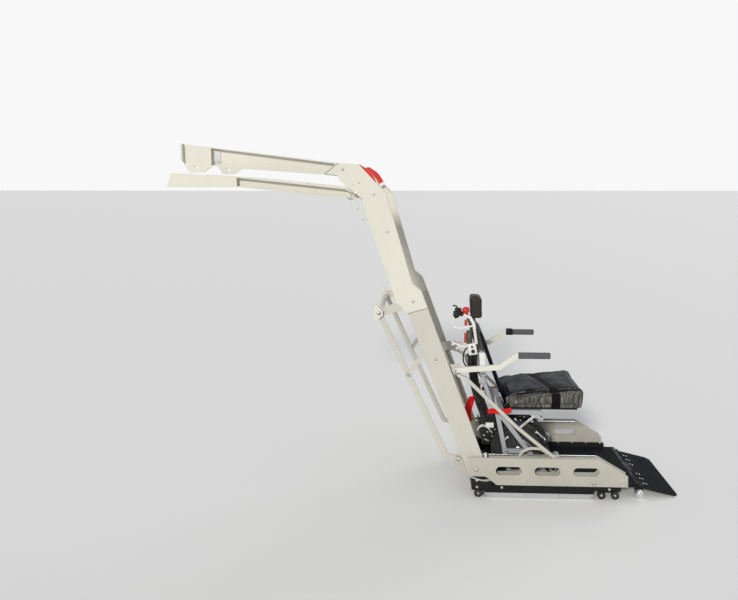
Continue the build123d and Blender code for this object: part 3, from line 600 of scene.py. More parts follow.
def smooth_line(points, steps=6):
    """Points of a smooth curve through the given ones."""
    points = [Vector(point) for point in points]
    padded = [2 * points[0] - points[1]] + points + [2 * points[-1] - points[-2]]
    line = []
    for a, b, c, d in zip(padded, padded[1:], padded[2:], padded[3:]):
        for step in range(steps):
            t = step / steps
            line.append(0.5 * (
                2 * b + (c - a) * t + (2 * a - 5 * b + 4 * c - d) * t * t
                + (3 * b - a - 3 * c + d) * t * t * t
            ))
    line.append(points[-1])
    return line


def hose(shape, points, radius, sides=10, steps=6):
    """A round rod along a smooth curve."""
    rod(shape, smooth_line(points, steps), radius, sides)


def bolt(shape, place, radius, height):
    """A button-head bolt on a washer, with a socket."""
    turned(shape, ((0, 0), (1.45, 0), (1.45, 0.18), (1, 0.20), (1, 0.45), (0.86, 0.80),
                   (0.62, 0.97), (0.50, 1), (0.44, 1), (0.42, 0.55), (0, 0.50)),
           place, 20, radius, height)


def bolts(shape, side, y, radius, height, places):
    """Bolts at several places of X and Z, all pointing outward."""
    for x, z in places:
        bolt(shape, outward(x, y, z, side), radius, height)


def hex_nut(shape, place, radius, height):
    """A nut on a washer, with the end of its screw."""
    turned(shape, ((0, 0), (1.35, 0), (1.35, 0.15), (1.2, 0.18)), place, 20, radius, height)
    turned(shape, ((1.05, 0.18), (1.05, 0.85), (0.9, 1), (0.55, 1), (0.5, 1.2), (0, 1.25)),
           place, 6, radius, height)


# Side frames

WEB_FACE = 310
# Rows of bolts: how far outward, radius, height, and places of X and Z
FRAME_BOLTS = (
    (WEB_FACE, 5.4, 4.0, ((-436, 1728), (-283, 1604), (-214, 1418), (-82, 1060), (38, 756))),
    (WEB_FACE, 3.2, 2.4, ((-352, 1660), (-470, 1722), (-384, 1650))),
    (WEB_FACE, 5.5, 4.0, ((262, 96), (312, 96))),
    (WEB_FACE, 5.0, 4.0, ((263, 58), (395, 58), (962, 58))),
    (294, 3.4, 2.6, ((-367, 1532), (-337, 1476))),
    (286.4, 3.0, 2.4, ((-1083, 1767), (-1083, 1811), (-1066, 1767), (-1066, 1811))),
)
# Nuts: X, how far outward, Z, radius and height
FRAME_NUTS = ((-258, 310, 998, 8, 5.5), (-108, 302, 671, 7, 5.5), (159, 313, 211, 7, 4.5))


def frame_bolts(shape, side):
    for row in FRAME_BOLTS:
        bolts(shape, side, *row)
    for x, y, z, radius, height in FRAME_NUTS:
        hex_nut(shape, outward(x, y, z, side), radius, height)


def splice_plates(shape, side):
    side_box(shape, (-1092, -1057), side, (282.6, 286.4), (1757, 1821), 1.2)
    side_box(shape, (-1256, -1249.5), side, (284, 306), (1775, 1845), 1.0)


def hook_clips(shape, side):
    side_prism(shape, ((-378, 1604), (-368, 1602), (-365, 1611), (-374, 1614)), side,
               (309.5, 311))
    hose(shape, [(x, side * y, z) for x, y, z in (
        (-370, 312, 1608), (-382, 314, 1604), (-392, 312, 1602), (-395, 310, 1594),
        (-389, 308, 1589),
    )], 1.8)


def guide_caps(shape, side):
    """The pale cap on the lower end of the red guide."""
    bar(shape, (-284, 1663), (-275, 1646), 27, side, (277, 304.5), 2.5)


def frame_seams(shape, side):
    """The dark joints between the parts of the side frame."""
    for start, end in (((-109, 996.6), (-9.2, 1026.2)), ((-458.5, 1757), (-528, 1704)),
                       ((-408, 1632), (-343, 1580.5)), ((-528, 1703), (-463, 1696))):
        bar(shape, start, end, 2.6, side, (309.6, 310.3), 0)


def tube_collars(shape, side):
    for x, z, r in ((-258, 998, 22), (-1240, 1672, 23), (-720, 1640, 23)):
        place = axis_frame(p(x, side * 278, z), (0, -side, 0))
        turned(shape, ((0, 0), (r, 0), (r, 4), (r - 4, 6.5), (0, 6.5)), place, 28)


def build_side_frames():
    both_sides("frame_bolts", frame_bolts, "bare_steel", "frame", "bolt_steel")
    both_sides("splice_plates", splice_plates, "grey_plastic", "frame")
    both_sides("hook_clips", hook_clips, "bare_steel", "frame", "bolt_steel")
    both_sides("guide_caps", guide_caps, "grey_plastic", "frame", "white_plastic")
    both_sides("frame_seams", frame_seams, "black_paint", "frame", "seam_dark")
    both_sides("tube_collars", tube_collars, "beige_paint", "frame")


# Base

AXLES = {"rear": 270, "middle": 923, "front": 995}
AXLE_Z = 21
BASE_WHEEL_Y = 299
AXLE_END = 306
STRIP_FACE = 312
ROLLER_X, ROLLER_Z = 1130, 22


def roller_profile(radius, width, groove=False):
    """A hard roller with a hub recess on each face."""
    half = width / 2
    face = [
        (0, 2.5 - half), (radius * 0.34, 2.5 - half), (radius * 0.36, 1 - half),
        (radius * 0.50, 1 - half), (radius * 0.55, 4 - half), (radius * 0.72, 4 - half),
        (radius * 0.78, -half), (radius * 0.93, -half), (radius, 2.2 - half),
    ]
    return mirrored(face + [(radius, -2.2), (radius * 0.88, -1.2)] if groove else face)


def base_wheels(name, x):
    body = "base_axle_" + name

    def tyres(shape, side):
        turned(shape, roller_profile(21, 22), outward(x, BASE_WHEEL_Y, AXLE_Z, side), 40)

    def axle(shape):
        rod(shape, ((x, -AXLE_END, AXLE_Z), (x, AXLE_END, AXLE_Z)), 5, 20)
        for side in SIDES.values():
            hex_nut(shape, outward(x, AXLE_END, AXLE_Z, side), 6, 4.2)
            turned(shape, ((5.2, 0), (9, 0), (9, 2), (5.2, 2)),
                   outward(x, 286, AXLE_Z, side), 20)

    wheels = both_sides("base_wheel_set_" + name, tyres, "roller_plastic", body)
    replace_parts(wheels, "base_wheels_" + name)
    add_piece("base_axle_rod_" + name, axle, "roller_plastic", body, "bolt_steel")


def strip_ends(shape, side):
    for x in (304.5, 868):
        side_box(shape, (x, x + 13.5), side, (287, STRIP_FACE), (3, 29), 1.5)
    bolts(shape, side, STRIP_FACE, 3.8, 2.8, ((311, 16), (875, 16)))
    bolts(shape, side, 310, 3.8, 2.8, ((520, 16), (700, 16)))


def winch_housing(shape):
    """A ribbed housing with a raised block in its middle and a flange at each end."""
    block(shape, (239, -258, 58.5), (311, 258, 106), 6, 3)
    for y in range(-216, 217, 24):
        if abs(y) > 50:
            block(shape, (237, y - 2.5, 58.6), (313, y + 2.5, 112), 1.5)
    block(shape, (236.2, -44, 58), (313.8, 44, 117.5), 5, 3)
    for side in SIDES.values():
        side_box(shape, (236, 314), side, (243, 262), (58, 116.5), 4)


def winch_fittings(shape):
    block(shape, (262, -20, 117), (290, 20, 118), 0.4)
    for side in SIDES.values():
        for x in (250, 300):
            bolt(shape, upright(x, side * 34, 117.2), 4.5, 3.2)
        for x in (246, 304):
            bolt(shape, upright(x, side * 252, 116.2), 3.6, 2.6)


def build_base():
    for name, x in AXLES.items():
        base_wheels(name, x)
    both_sides("strip_ends", strip_ends, "bare_steel", "frame", "bolt_steel")
    housing = add_piece("winch_housing", winch_housing, "black_paint", "frame")
    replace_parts(housing, "winch_motor")
    add_piece("winch_fittings", winch_fittings, "bare_steel", "frame", "bolt_steel")


# Carriage platform

GUARD_FACE = 323
LEAF_PLACE = Matrix.Translation(p(1148, 0, 50)) @ Matrix.Rotation(math.radians(13.6), 4, "Y")
# Long strips on each side: slot, material, ranges of X, of Y outward and of Z, and bevel
STRIPS = {
    "guard_caps": ("bare_steel", None, (286, 893), (266.8, 274.4), (222, 229.6), 0.8),
    # A black strip in the gap between each guard's two plates, just below their tops: painted shade
    # for the shadowed gap
    "guard_gap_shade": ("black_paint", None, (340, 640), (274.6, 317.6), (192, 196), 0.5),
    "curb_edges": ("bare_steel", "black_paint", (348, 1063), (238.2, 240.4), (72, 92), 0.6),
}


def carriage_bolts(shape, side):
    bolts(shape, side, GUARD_FACE, 8.5, 4.2, ((257, 161), (877, 96)))
    bolts(shape, side, GUARD_FACE, 4.0, 2.8, ((529, 100), (1010, 100)))
    bolts(shape, side, 308, 5.5, 2.6, ((135.94, 696),))
    for x in range(372, 1060, 84):
        bolt(shape, upright(x, side * 254, 100), 4.6, 3.4)


def guard_fittings(shape, side):
    """The small bright fitting that stands at the rear of the guard's top edge."""
    side_box(shape, (299, 312), side, (314, 318.2), (206, 244), 1.0)
    turned(shape, ((0, 0), (4.5, 0), (4.5, 10), (3, 12.5), (0, 13)),
           upright(305.5, side * 316, 243), 16)


def floor_sills(shape):
    block(shape, (1112, -262, 71), (1131.5, 262, 74), 1.2)
    block(shape, (343.5, -262, 66), (362, 262, 73.6), 1.2)


def floor_ribs(shape):
    """Pressed anti-slip bars across the floor."""
    for x in range(400, 1061, 66):
        for y in (-176, -60, 60, 176):
            block(shape, (x, y - 46, 71.4), (x + 7, y + 46, 73.4), 0.9)


def ramp_pieces(name, side):
    """The screws of a leaf's hinge, the grip bars on the leaf and the worn lip at its foot."""
    def screws(shape):
        for y in (66, 132, 198):
            for x in (26, 42):
                bolt(shape, LEAF_PLACE @ Matrix.Translation(p(x, side * y, 2.8)), 3.4, 2.4)

    def grips(shape):
        for x in range(66, 163, 24):
            for y in (76, 188):
                side_box(shape, (x, x + 6), side, (y - 48, y + 48), (2.4, 4.4), 0.9, LEAF_PLACE)
        side_box(shape, (184, 198.6), side, (4, 238), (-2.4, 3.9), 1.0, LEAF_PLACE)

    add_piece("ramp_screws_" + name, screws, "bare_steel", "ramp_" + name, "bolt_steel")
    add_piece("ramp_grips_" + name, grips, "ramp_coating", "ramp_" + name)


def front_roller_set(shape):
    rod(shape, ((ROLLER_X, -286, ROLLER_Z), (ROLLER_X, 286, ROLLER_Z)), 6, 20)
    for side in SIDES.values():
        turned(shape, roller_profile(22, 24, True), outward(ROLLER_X, 276, ROLLER_Z, side), 44)
        hex_nut(shape, outward(ROLLER_X, 286, ROLLER_Z, side), 6.5, 1.8)


def build_platform():
    both_sides("carriage_bolts", carriage_bolts, "bare_steel", "carriage", "bolt_steel")
    both_sides("guard_fittings", guard_fittings, "bare_steel", "carriage")
    for name, (slot, material, x, y, z, bevel) in STRIPS.items():
        both_sides(name, lambda shape, side: side_box(shape, x, side, y, z, bevel), slot,
                   "carriage", material)
    add_piece("floor_sills", floor_sills, "black_paint", "carriage")
    add_piece("floor_ribs", floor_ribs, "black_paint", "carriage", "floor_coating")
    for name, side in SIDES.items():
        ramp_pieces(name, side)
    rollers = add_piece("front_roller_set", front_roller_set, "roller_chrome", "front_rollers")
    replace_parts(rollers, "front_rollers")


# Chair

WHEEL_X, WHEEL_Z = 495, 222.3
WHEEL_RADIUS = 150
CASTER_X, CASTER_Y, CASTER_Z = 691, 140, 104.3
# The drive case's round is struck from a point near the wheel's middle
CASE_X, CASE_Z = 495, 222


def tyre_profile(radius, width, inner):
    half, span = width / 2, radius - inner
    return mirrored([
        (inner, -half * 0.75), (inner + span * 0.25, -half * 0.98),
        (inner + span * 0.62, -half), (radius * 0.975, -half * 0.72),
        (radius * 0.994, -half * 0.45), (radius * 0.994, -half * 0.30),
        (radius * 0.985, -half * 0.26), (radius * 0.985, -half * 0.16), (radius, -half * 0.12),
    ])


def disc_profile(rim, width, bore, hub):
    half = width / 2
    return mirrored([
        (bore, -half), (hub * 0.55, -half), (hub * 0.60, 1 - half), (hub, 1 - half),
        (hub * 1.12, -half * 0.45), (rim * 0.45, -half * 0.22), (rim * 0.78, -half * 0.22),
        (rim * 0.86, -half * 0.62), (rim * 0.93, -half * 0.80), (rim, -half * 0.80),
    ])


def chair_wheel(name, side):
    place = outward(WHEEL_X, 165, WHEEL_Z, side)
    body = "chair_wheel_" + name

    def tyre(shape):
        ring_form(shape, tyre_profile(WHEEL_RADIUS, 26, 121), place, 72)

    def disc(shape):
        ring_form(shape, disc_profile(121.5, 25, 8.1, 26), place, 72)
        for number in range(10):
            turn = place @ Matrix.Rotation(2 * math.pi * number / 10, 4, "Z")
            block(shape, (28, -3.5, -6.5), (104, 3.5, 6.5), 1.5, 2, turn)

    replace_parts(add_piece("wheel_tyre_" + name, tyre, "chair_tyre", body), "chair_wheel_" + name)
    add_piece("wheel_disc_" + name, disc, "grey_plastic", body, "wheel_plastic")


def hub_caps(shape, side):
    turned(shape, ((7.8, -4), (17, -4), (17, 2), (13.5, 4.5), (8.5, 4.5), (7.8, -2)),
           outward(WHEEL_X, 182, WHEEL_Z, side), 28)


def caster(name, side):
    place = outward(CASTER_X, CASTER_Y, CASTER_Z, side)
    body = "caster_wheel_" + name

    def tyre(shape):
        ring_form(shape, tyre_profile(32, 22, 22), place, 48)

    def hub(shape):
        ring_form(shape, disc_profile(22.2, 21.5, 4.1, 8), place, 48)

    def nuts(shape):
        for turn in (-1, 1):
            end = p(CASTER_X, side * CASTER_Y + turn * 17, CASTER_Z)
            hex_nut(shape, axis_frame(end, (0, turn, 0)), 4.8, 3.6)
        hex_nut(shape, upright(705, side * CASTER_Y, 190.8), 6.8, 4.8)

    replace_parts(add_piece("caster_tyre_" + name, tyre, "chair_tyre", body), "caster_wheel_" + name)
    add_piece("caster_hub_" + name, hub, "grey_plastic", body)
    add_piece("caster_nuts_" + name, nuts, "fork_steel", "caster_" + name, "bolt_steel")


def case_outline(radius, top):
    """The drive case from the side: its front follows the wheel's round."""
    first, last = math.asin(40 / radius), math.asin(min((top - CASE_Z) / radius, 1))
    angles = [first + (last - first) * step / 12 for step in range(13)]
    round_front = [(CASE_X + radius * math.cos(a), CASE_Z + radius * math.sin(a))
                   for a in angles]
    foot_x = CASE_X + math.sqrt(radius ** 2 - 30 ** 2)
    return [(407, 251), (foot_x, 252)] + round_front + [(407, top)]


def drive_case(shape):
    """The motor housing: high on the near side and low on the far side, with a joint."""
    for radius, top, low, high, bevel in (
        (166, 366, -129, -22, 3), (120, 330, -24, 129, 3), (170, 370, -80, -70, 1.2),
    ):
        prism(shape, case_outline(radius, top), low, high, bevel)
    for x in (405, 560):
        block(shape, (x, -100, 425), (x + 18, 100, 432), 1.5)
    for x in range(528, 620, 13):
        top = min(CASE_Z + math.sqrt(WHEEL_RADIUS ** 2 - (x - CASE_X) ** 2), 350)
        side_box(shape, (x, x + 5), -1, (128, 131.5), (262, top), 1.5)
    for side in SIDES.values():
        for x in (405, 560):
            side_box(shape, (x, x + 18), side, (94, 101), (322, 432), 1.5)
        side_box(shape, (452, 538), side, (90, 129.5), (216, 300), 8)
        turned(shape, ((0, 0), (46, 0), (46, 12), (40, 17), (16, 18), (12, 19.5), (0, 19.5)),
               outward(WHEEL_X, 129, WHEEL_Z, side), 40)
    turned(shape, ((0, 0), (34, 0), (37, 4), (37, 70), (32, 76), (14, 78), (0, 78)),
           outward(470, 30, 362, 1))


def drive_fittings(shape):
    """Bright brackets, links and nuts in front of the drive case on the near side."""
    for start, end, width, y in (
        ((411, 270), (438, 297), 11, 184), ((586, 328), (640, 278), 8, 184),
        ((509, 281), (563, 242), 9, 186), ((474, 384), (496, 355), 10, 140),
        ((399, 330), (421, 331), 6, 150), ((555, 386), (571, 360), 17, 137),
    ):
        bar(shape, start, end, width, -1, (y - 2, y + 2))
    for x, z, y, radius in (
        (541, 332, 131, 4.5), (586, 322, 186, 4), (636, 282, 186, 4), (415, 274, 186, 4),
        (434, 293, 186, 4), (508, 372, 131, 3.6), (528, 391, 129, 3.4), (604, 300, 131, 3.6),
        (563, 373, 139, 4),
    ):
        bolt(shape, outward(x, y, z, -1), radius, 3)
    for x, z in ((586, 322), (636, 282), (415, 274), (434, 293)):
        rod(shape, ((x, -128, z), (x, -187, z)), 3)


def battery_case(shape):
    block(shape, (302, -108, 216), (406, 108, 333), 8, 3)
    block(shape, (300, -110, 335.5), (405, 110, 350), 4, 3)
    block(shape, (305, -105, 330), (402, 105, 338), 1)
    for y in range(-84, 85, 28):
        block(shape, (300, y - 5, 232), (303, y + 5, 318), 1.2)
    hose(shape, ((302, -44, 318), (290, -40, 324), (287, -20, 326), (287, 20, 326),
                 (290, 40, 324), (302, 44, 318)), 4.5, 12)


def seat_links(shape, side):
    """The crossed flat bars under the seat, with the pins that hold them."""
    bar(shape, (498, 350), (603, 441), 14, side, (186, 191.5), 1.0)
    bar(shape, (548, 428), (622, 396), 13, side, (181, 186.5), 1.0)
    for x, inner, outer, z, radius in ((504, 128, 192, 355, 5), (618, 128, 188, 398, 4),
                                       (575, 180, 194, 417, 5)):
        rod(shape, ((x, side * inner, z), (x, side * outer, z)), radius, 14)
    for x, y, z in ((504, 191.8, 355), (575, 193, 417)):
        bolt(shape, outward(x, y, z, side), 5, 3)


def chair_bolts(shape, side):
    bolts(shape, side, 209, 5.2, 3.6, ((445, 104), (640, 104), (374, 437), (592, 443),
                                       (430, 222.3), (533, 222.3)))
    bolts(shape, side, 101, 4.2, 3.2, ((414, 408), (569, 408)))
    bolts(shape, side, 107.6, 4.2, 3.0, ((318, 250), (388, 250), (330, 292), (358, 268),
                                         (372, 306), (312, 272)))
    bar(shape, (346, 300), (370, 268), 9, side, (107.6, 110.6))
    bar(shape, (322, 246), (352, 238), 8, side, (107.6, 110.6))


def pale_boxes(shape):
    """The small white terminal box and the curved strip beside the battery."""
    block(shape, (319, -124, 322), (363, -107, 350), 2.5, 3)
    block(shape, (330, -127, 328), (352, -123, 344), 1.2)
    line = smooth_line(((272, -122, 306), (282, -122, 326), (302, -122, 336),
                        (324, -122, 330), (342, -122, 312)), 5)
    strap(shape, line, 26, 3.6, (0, 1, 0))


def wire_harness(shape):
    """Clipped wires between the battery, the drive unit and the control box."""
    for lift in (0, 7):
        hose(shape, (
            (360 + lift, -112, 335), (372 + lift, -120, 346), (392 + lift, -128, 354),
            (430, -134, 358 - lift), (500, -134, 356 - lift), (560, -134, 354 - lift),
            (600, -131, 338 - lift),
        ), 2.6, 8)
    hose(shape, (
        (214, -74, 765), (198, -80, 750), (190, -92, 715), (196, -104, 682), (226, -112, 656),
        (262, -118, 644), (284, -122, 622), (300, -126, 580), (316, -128, 520), (338, -124, 466),
        (356, -116, 424), (368, -108, 380), (372, -104, 349),
    ), 4.2, 10, 8)
    hose(shape, (
        (214, -86, 735), (204, -92, 712), (214, -104, 680), (240, -112, 640), (262, -120, 590),
        (286, -124, 530), (312, -122, 470), (332, -112, 410), (338, -104, 349),
    ), 3.4, 10, 8)


def cable_bundle(shape):
    """The dark cables that hang from the control box to the drive unit."""
    rows = ((238, 730), (240, 690), (244, 640), (252, 590), (264, 534), (284, 470), (306, 410),
            (326, 348))
    for number in range(6):
        points = []
        for step, (x, z) in enumerate(rows):
            wave = 2.5 * math.sin(1.7 * number + 0.9 * step)
            points.append((x - 20 + 8 * number + wave, -84 - 9 * (number % 3) + wave, z))
        hose(shape, points, 6.4 if number % 2 else 5.4)
    for x, z in ((241, 668), (258, 560), (296, 440)):
        block(shape, (x - 27, -112, z - 5), (x + 29, -76, z + 5), 3, 3)


def wire_clips(shape):
    for x, y, z in ((430, -133, 357), (500, -133, 355), (560, -133, 352)):
        block(shape, (x - 5, y - 5.5, z - 13), (x + 5, y + 4, z + 7), 1.5)
    block(shape, (262, -126, 640), (283, -110, 656), 2.5)


def red_straps(shape):
    """The folded red strap that hangs behind the seat, and the ends of the tie straps."""
    for shift, width, rows in (
        (0, 33, ((240, 500), (233, 481), (226, 458), (217, 436), (210, 412), (212, 390),
                 (219, 368))),
        (9, 28, ((234, 486), (230, 462), (222, 438), (219, 414), (216, 388), (222, 352))),
    ):
        line = smooth_line([(x + shift, -112 + shift * 0.7 + 5 * math.sin(z / 9), z)
                            for x, z in rows])
        strap(shape, line, width, 2.4, (1, 0.25 - 0.05 * shift, 0.10))
    line = smooth_line(((322, -214, 446), (344, -215, 452), (372, -215, 447),
                        (398, -216, 444), (424, -215, 452), (446, -213, 456)))
    strap(shape, line, 26, 2.4, (0, 0.45, 1))


def post_sleeves(shape, side):
    """The white sleeve on each post behind the backrest."""
    section = ((-13.8, 11.6), (13.8, 11.6), (13.8, -11.6), (-13.8, -11.6))
    skin(shape, [[(x0 + x, side * 200 + y, z0 + x * 0.07) for x, y in section]
                 for x0, z0 in ((290.2, 660), (281.8, 770))])


def post_clamps(shape, side):
    side_box(shape, (277, 303), side, (188, 212), (640, 654), 2.0)
    side_box(shape, (299, 312), side, (193, 207), (642, 652), 1.5)
    bolt(shape, outward(289, 212, 647, side), 4.6, 3.4)
    side_prism(shape, ((271, 636), (279, 636), (281, 606), (302, 600), (303, 592), (274, 598)),
               side, (209, 212))


def build_chair():
    for name, side in SIDES.items():
        chair_wheel(name, side)
        caster(name, side)
    both_sides("hub_caps", hub_caps, "chair_paint", "carriage", "bolt_steel")
    case = add_piece("drive_case", drive_case, "black_housing", "carriage")
    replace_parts(case, "drive_unit")
    add_piece("battery_case", battery_case, "black_housing", "carriage")
    both_sides("seat_links", seat_links, "bare_steel", "carriage")
    add_piece("drive_fittings", drive_fittings, "bare_steel", "carriage")
    both_sides("chair_bolts", chair_bolts, "bare_steel", "carriage", "bolt_steel")
    add_piece("pale_boxes", pale_boxes, "grey_plastic", "carriage", "white_plastic")
    add_piece("wire_harness", wire_harness, "black_housing", "carriage")
    add_piece("wire_clips", wire_clips, "black_housing", "carriage")
    add_piece("cable_bundle", cable_bundle, "black_housing", "carriage", "chair_tyre")
    add_piece("red_straps", red_straps, "webbing", "carriage", "red_webbing")
    both_sides("post_sleeves", post_sleeves, "chair_paint", "carriage", "white_plastic")
    both_sides("post_clamps", post_clamps, "bare_steel", "carriage", "bolt_steel")


# Controls and grips

HANDLE_Y = -85
GRIP_START, GRIP_LENGTH = 462.9, 165.2
BOX_PLACE = Matrix.Translation(p(240, 0, 761)) @ Matrix.Rotation(math.radians(-12), 4, "Y")


def control_case(shape):
    block(shape, (-24, -98, -33), (24, -58.5, 33), 4.0, 3, BOX_PLACE)
    block(shape, (-21.5, -100.5, -30.5), (21.5, -96, 30.5), 2.0, 2, BOX_PLACE)
    for x in (-17, 17):
        for z in (-26, 26):
            bolt(shape, BOX_PLACE @ outward(x, 100.3, z, -1), 2.2, 1.2)


def control_knobs(shape):
    """The box's two knobs, and the dark lever block at the top of the push handle."""
    for x, z, r in ((236, 776, 4.8), (242, 751, 8.0)):
        turned(shape, ((0, 0), (r * 1.25, 0), (r * 1.25, 2), (r, 3), (r * 0.92, 10),
                       (r * 0.7, 11.5), (0, 11.5)), outward(x, 100.2, z, -1), 20)
    block(shape, (132, -101, 940), (164, -72, 972), 5, 3)
    block(shape, (140, -96, 968), (176, -78, 990), 4, 3)
    hose(shape, ((160, -94, 982), (146, -98, 1002), (128, -98, 1004)), 4)
    hose(shape, ((170, -78, 960), (160, -72, 938), (140, -70, 930)), 4)


def pale_levers(shape):
    for points, radius, sides in (
        (((139, -86, 962), (136, -86, 930), (133, -86, 905), (140, -85, 884)), 3.6, 10),
        (((172, -65, 774), (158, -65, 764), (152, -65, 750)), 4, 10),
        (((150, -65, 786), (136, -65, 780), (124, -65, 776)), 4, 10),
        (((218, -62, 724), (214, -62, 700), (220, -60, 676)), 5, 12),
    ):
        hose(shape, points, radius, sides)


def red_controls(shape):
    turned(shape, ((0, 0), (8.5, 0), (8.5, 10), (17, 14), (20, 22), (20, 32), (16, 40), (8, 44),
                   (0, 44.5)), axis_frame(p(207, HANDLE_Y, 951), (-0.25, 0, 0.97)), 36)
    block(shape, (194, -88, 796), (204, -68, 850), 3, 3)
    block(shape, (194, -92, 892), (209, -78, 925), 4, 3)


def cylinder_body(shape):
    turned(shape, ((0, 0), (17, 0), (17, 10), (15.5, 11), (15.5, 14), (17, 15), (17, 56),
                   (16, 58), (16, 61), (17, 63), (16.5, 68), (13, 71.5), (0, 72)),
           upright(222, -77.5, 791), 36)


def handle_sleeve(shape):
    """A ribbed rubber sleeve."""
    profile = [(0, -1), (12.5, -1), (14.5, 1)]
    for z in range(3, 40, 6):
        profile += [(14.2, z), (12.8, z + 1.5), (12.8, z + 3), (14.2, z + 4.5)]
    profile += [(13.5, 44.5), (10, 46.5), (0, 47)]
    turned(shape, profile, axis_frame(p(185, HANDLE_Y, 954), (-39, 0, 17)), 28)


def foam_grip(name, side):
    """A soft sleeve with a rounded, slightly swollen section."""
    steps, sides = 34, 28

    def signed_power(value):
        return math.copysign(abs(value) ** 0.55, value)

    def form(shape):
        rings = []
        for step in range(steps + 1):
            share = step / steps
            end = min(share, 1 - share) * GRIP_LENGTH
            swell = 1.0 - 0.16 * max(0.0, 1 - end / 5) ** 2 + 0.015 * math.sin(share * 41)
            angles = (2 * math.pi * turn / sides for turn in range(sides))
            rings.append([(
                GRIP_START + GRIP_LENGTH * share,
                side * 294 + 13.0 * signed_power(math.cos(angle)) * swell,
                778 + 16.2 * signed_power(math.sin(angle)) * swell,
            ) for angle in angles])
        skin(shape, rings)

    grip = add_piece("foam_grip_" + name, form, "grip_foam", "armrest_" + name)
    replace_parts(grip, "armrest_grip_" + name)


def grip_clamp(shape):
    block(shape, (462.5, 279.5, 760.5), (505, 308.5, 795.5), 5, 3)
    block(shape, (468, 281, 794), (500, 307, 798), 1.5)


def build_controls():
    case = add_piece("control_case", control_case, "chair_paint", "carriage", "white_plastic")
    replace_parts(case, "control_box")
    add_piece("control_knobs", control_knobs, "black_housing", "carriage")
    add_piece("pale_levers", pale_levers, "chair_paint", "carriage", "white_plastic")
    add_piece("red_controls", red_controls, "red_plastic", "carriage")
    body = add_piece("cylinder_body", cylinder_body, "column_paint", "carriage")
    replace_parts(body, "control_cylinder")
    sleeve = add_piece("handle_sleeve", handle_sleeve, "grip_foam", "carriage", "black_housing")
    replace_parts(sleeve, "handle_grip")
    for name, side in SIDES.items():
        foam_grip(name, side)
    add_piece("grip_clamp", grip_clamp, "black_paint", "armrest_far")


# Soft parts: lengths here are in metres, apart from outlines and what straps and rods take


def remeshed(name, outline, half_width, bevel, voxel):
    """An even mesh of a prism, as an object of its own."""
    mesh = mesh_from(name, lambda shape: prism(shape, outline, -half_width, half_width, bevel))
    piece = bpy.data.objects.new(name, mesh)
    bpy.context.scene.collection.objects.link(piece)
    remesh = piece.modifiers.new("remesh", "REMESH")
    remesh.mode = "VOXEL"
    remesh.voxel_size = voxel
    graph = bpy.context.evaluated_depsgraph_get()
    even = bpy.data.meshes.new_from_object(piece.evaluated_get(graph))
    piece.modifiers.clear()
    piece.data = even
    return piece


def inflated(piece, cap, held):
    """Blows the mesh up as cloth; no point moves more than cap, nor where held says so."""
    start = [vertex.co.copy() for vertex in piece.data.vertices]
    normals = [vertex.normal.copy() for vertex in piece.data.vertices]
    cloth = piece.modifiers.new("cloth", "CLOTH")
    cloth.settings.use_pressure = True
    cloth.settings.uniform_pressure_force = 4.0
    cloth.settings.effector_weights.gravity = 0
    cloth.settings.mass = 0.3
    cloth.settings.tension_stiffness = 12
    cloth.settings.compression_stiffness = 8
    cloth.settings.bending_stiffness = 0.4
    cloth.point_cache.frame_end = 20
    scene = bpy.context.scene
    for number in range(1, 21):
        scene.frame_set(number)
    graph = bpy.context.evaluated_depsgraph_get()
    blown = bpy.data.meshes.new_from_object(piece.evaluated_get(graph))
    piece.modifiers.clear()
    scene.frame_set(1)
    for index, vertex in enumerate(piece.data.vertices):
        step = blown.vertices[index].co - start[index]
        if step.length > cap:
            step *= cap / step.length
        vertex.co = start[index] + step * held(start[index], normals[index])


def finish_soft(piece, node, material):
    mesh = piece.data
    mesh.materials.clear()
    mesh.materials.append(MATERIALS[material])
    smooth = piece.modifiers.new("smooth", "SUBSURF")
    smooth.levels = smooth.render_levels = 1
    mesh.shade_smooth()
    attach(piece, "carriage")
    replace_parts(piece, node)


def smoothstep(low, high, value):
    share = min(max((value - low) / (high - low), 0.0), 1.0)
    return share * share * (3 - 2 * share)


def bell(distance, width, power=2):
    """1 at no distance, fading to 0 past the width."""
    return math.exp(-(distance / width) ** power)


def dome(share, power=2):
    """1 in the middle, falling to 0 where the share of the way out is 1."""
    return 1 - min(abs(share), 1) ** power


SEAT_OUTLINE = (
    (439, 474), (446, 465.5), (818, 465.5), (829, 476), (833, 558), (822, 570.5), (706, 561),
    (625, 555), (545, 550), (489, 538), (432, 533), (408, 522), (412, 510),
)
SEAT_LINE = ((0.400, 0.528), (0.489, 0.537), (0.545, 0.551), (0.625, 0.555), (0.706, 0.561),
             (0.840, 0.573))
SEAT_MIDDLE_X = 0.625
PLEAT_CLUSTERS = ((0.520, 0.028), (0.605, 0.040), (0.775, 0.045), (-0.06, 0.09))


def belt_line_x(y):
    """Where the lap belt crosses the seat."""
    return 0.634 - 0.255 * y


def seat_top(x):
    """The height of the seat's top, which rises to the front."""
    for (x0, z0), (x1, z1) in zip(SEAT_LINE, SEAT_LINE[1:]):
        if x < x1:
            break
    return z0 + (x - x0) / (x1 - x0) * (z1 - z0)


def gathers(run, height, seed):
    """How far the seat's side stands out, with upright pleats in a few clusters."""
    place = run + 0.0022 * noise.noise(Vector((run * 30, height * 14, 2)))
    amount = 0.25 + sum(bell(run - middle, reach) for middle, reach in PLEAT_CLUSTERS)
    pleat = 0.0
    for scale, weight in ((62, 1.0), (118, 0.75)):
        key = Vector((place * scale, height * 2.2, math.copysign(3 + scale, seed)))
        pleat += weight * (0.55 - 1.6 * abs(noise.noise(key)) ** 0.8)
    bulge = 0.0035 * noise.noise(Vector((run * 16, height * 6, 5)))
    return 0.0048 * min(amount, 1.1) * pleat + bulge - 0.0022


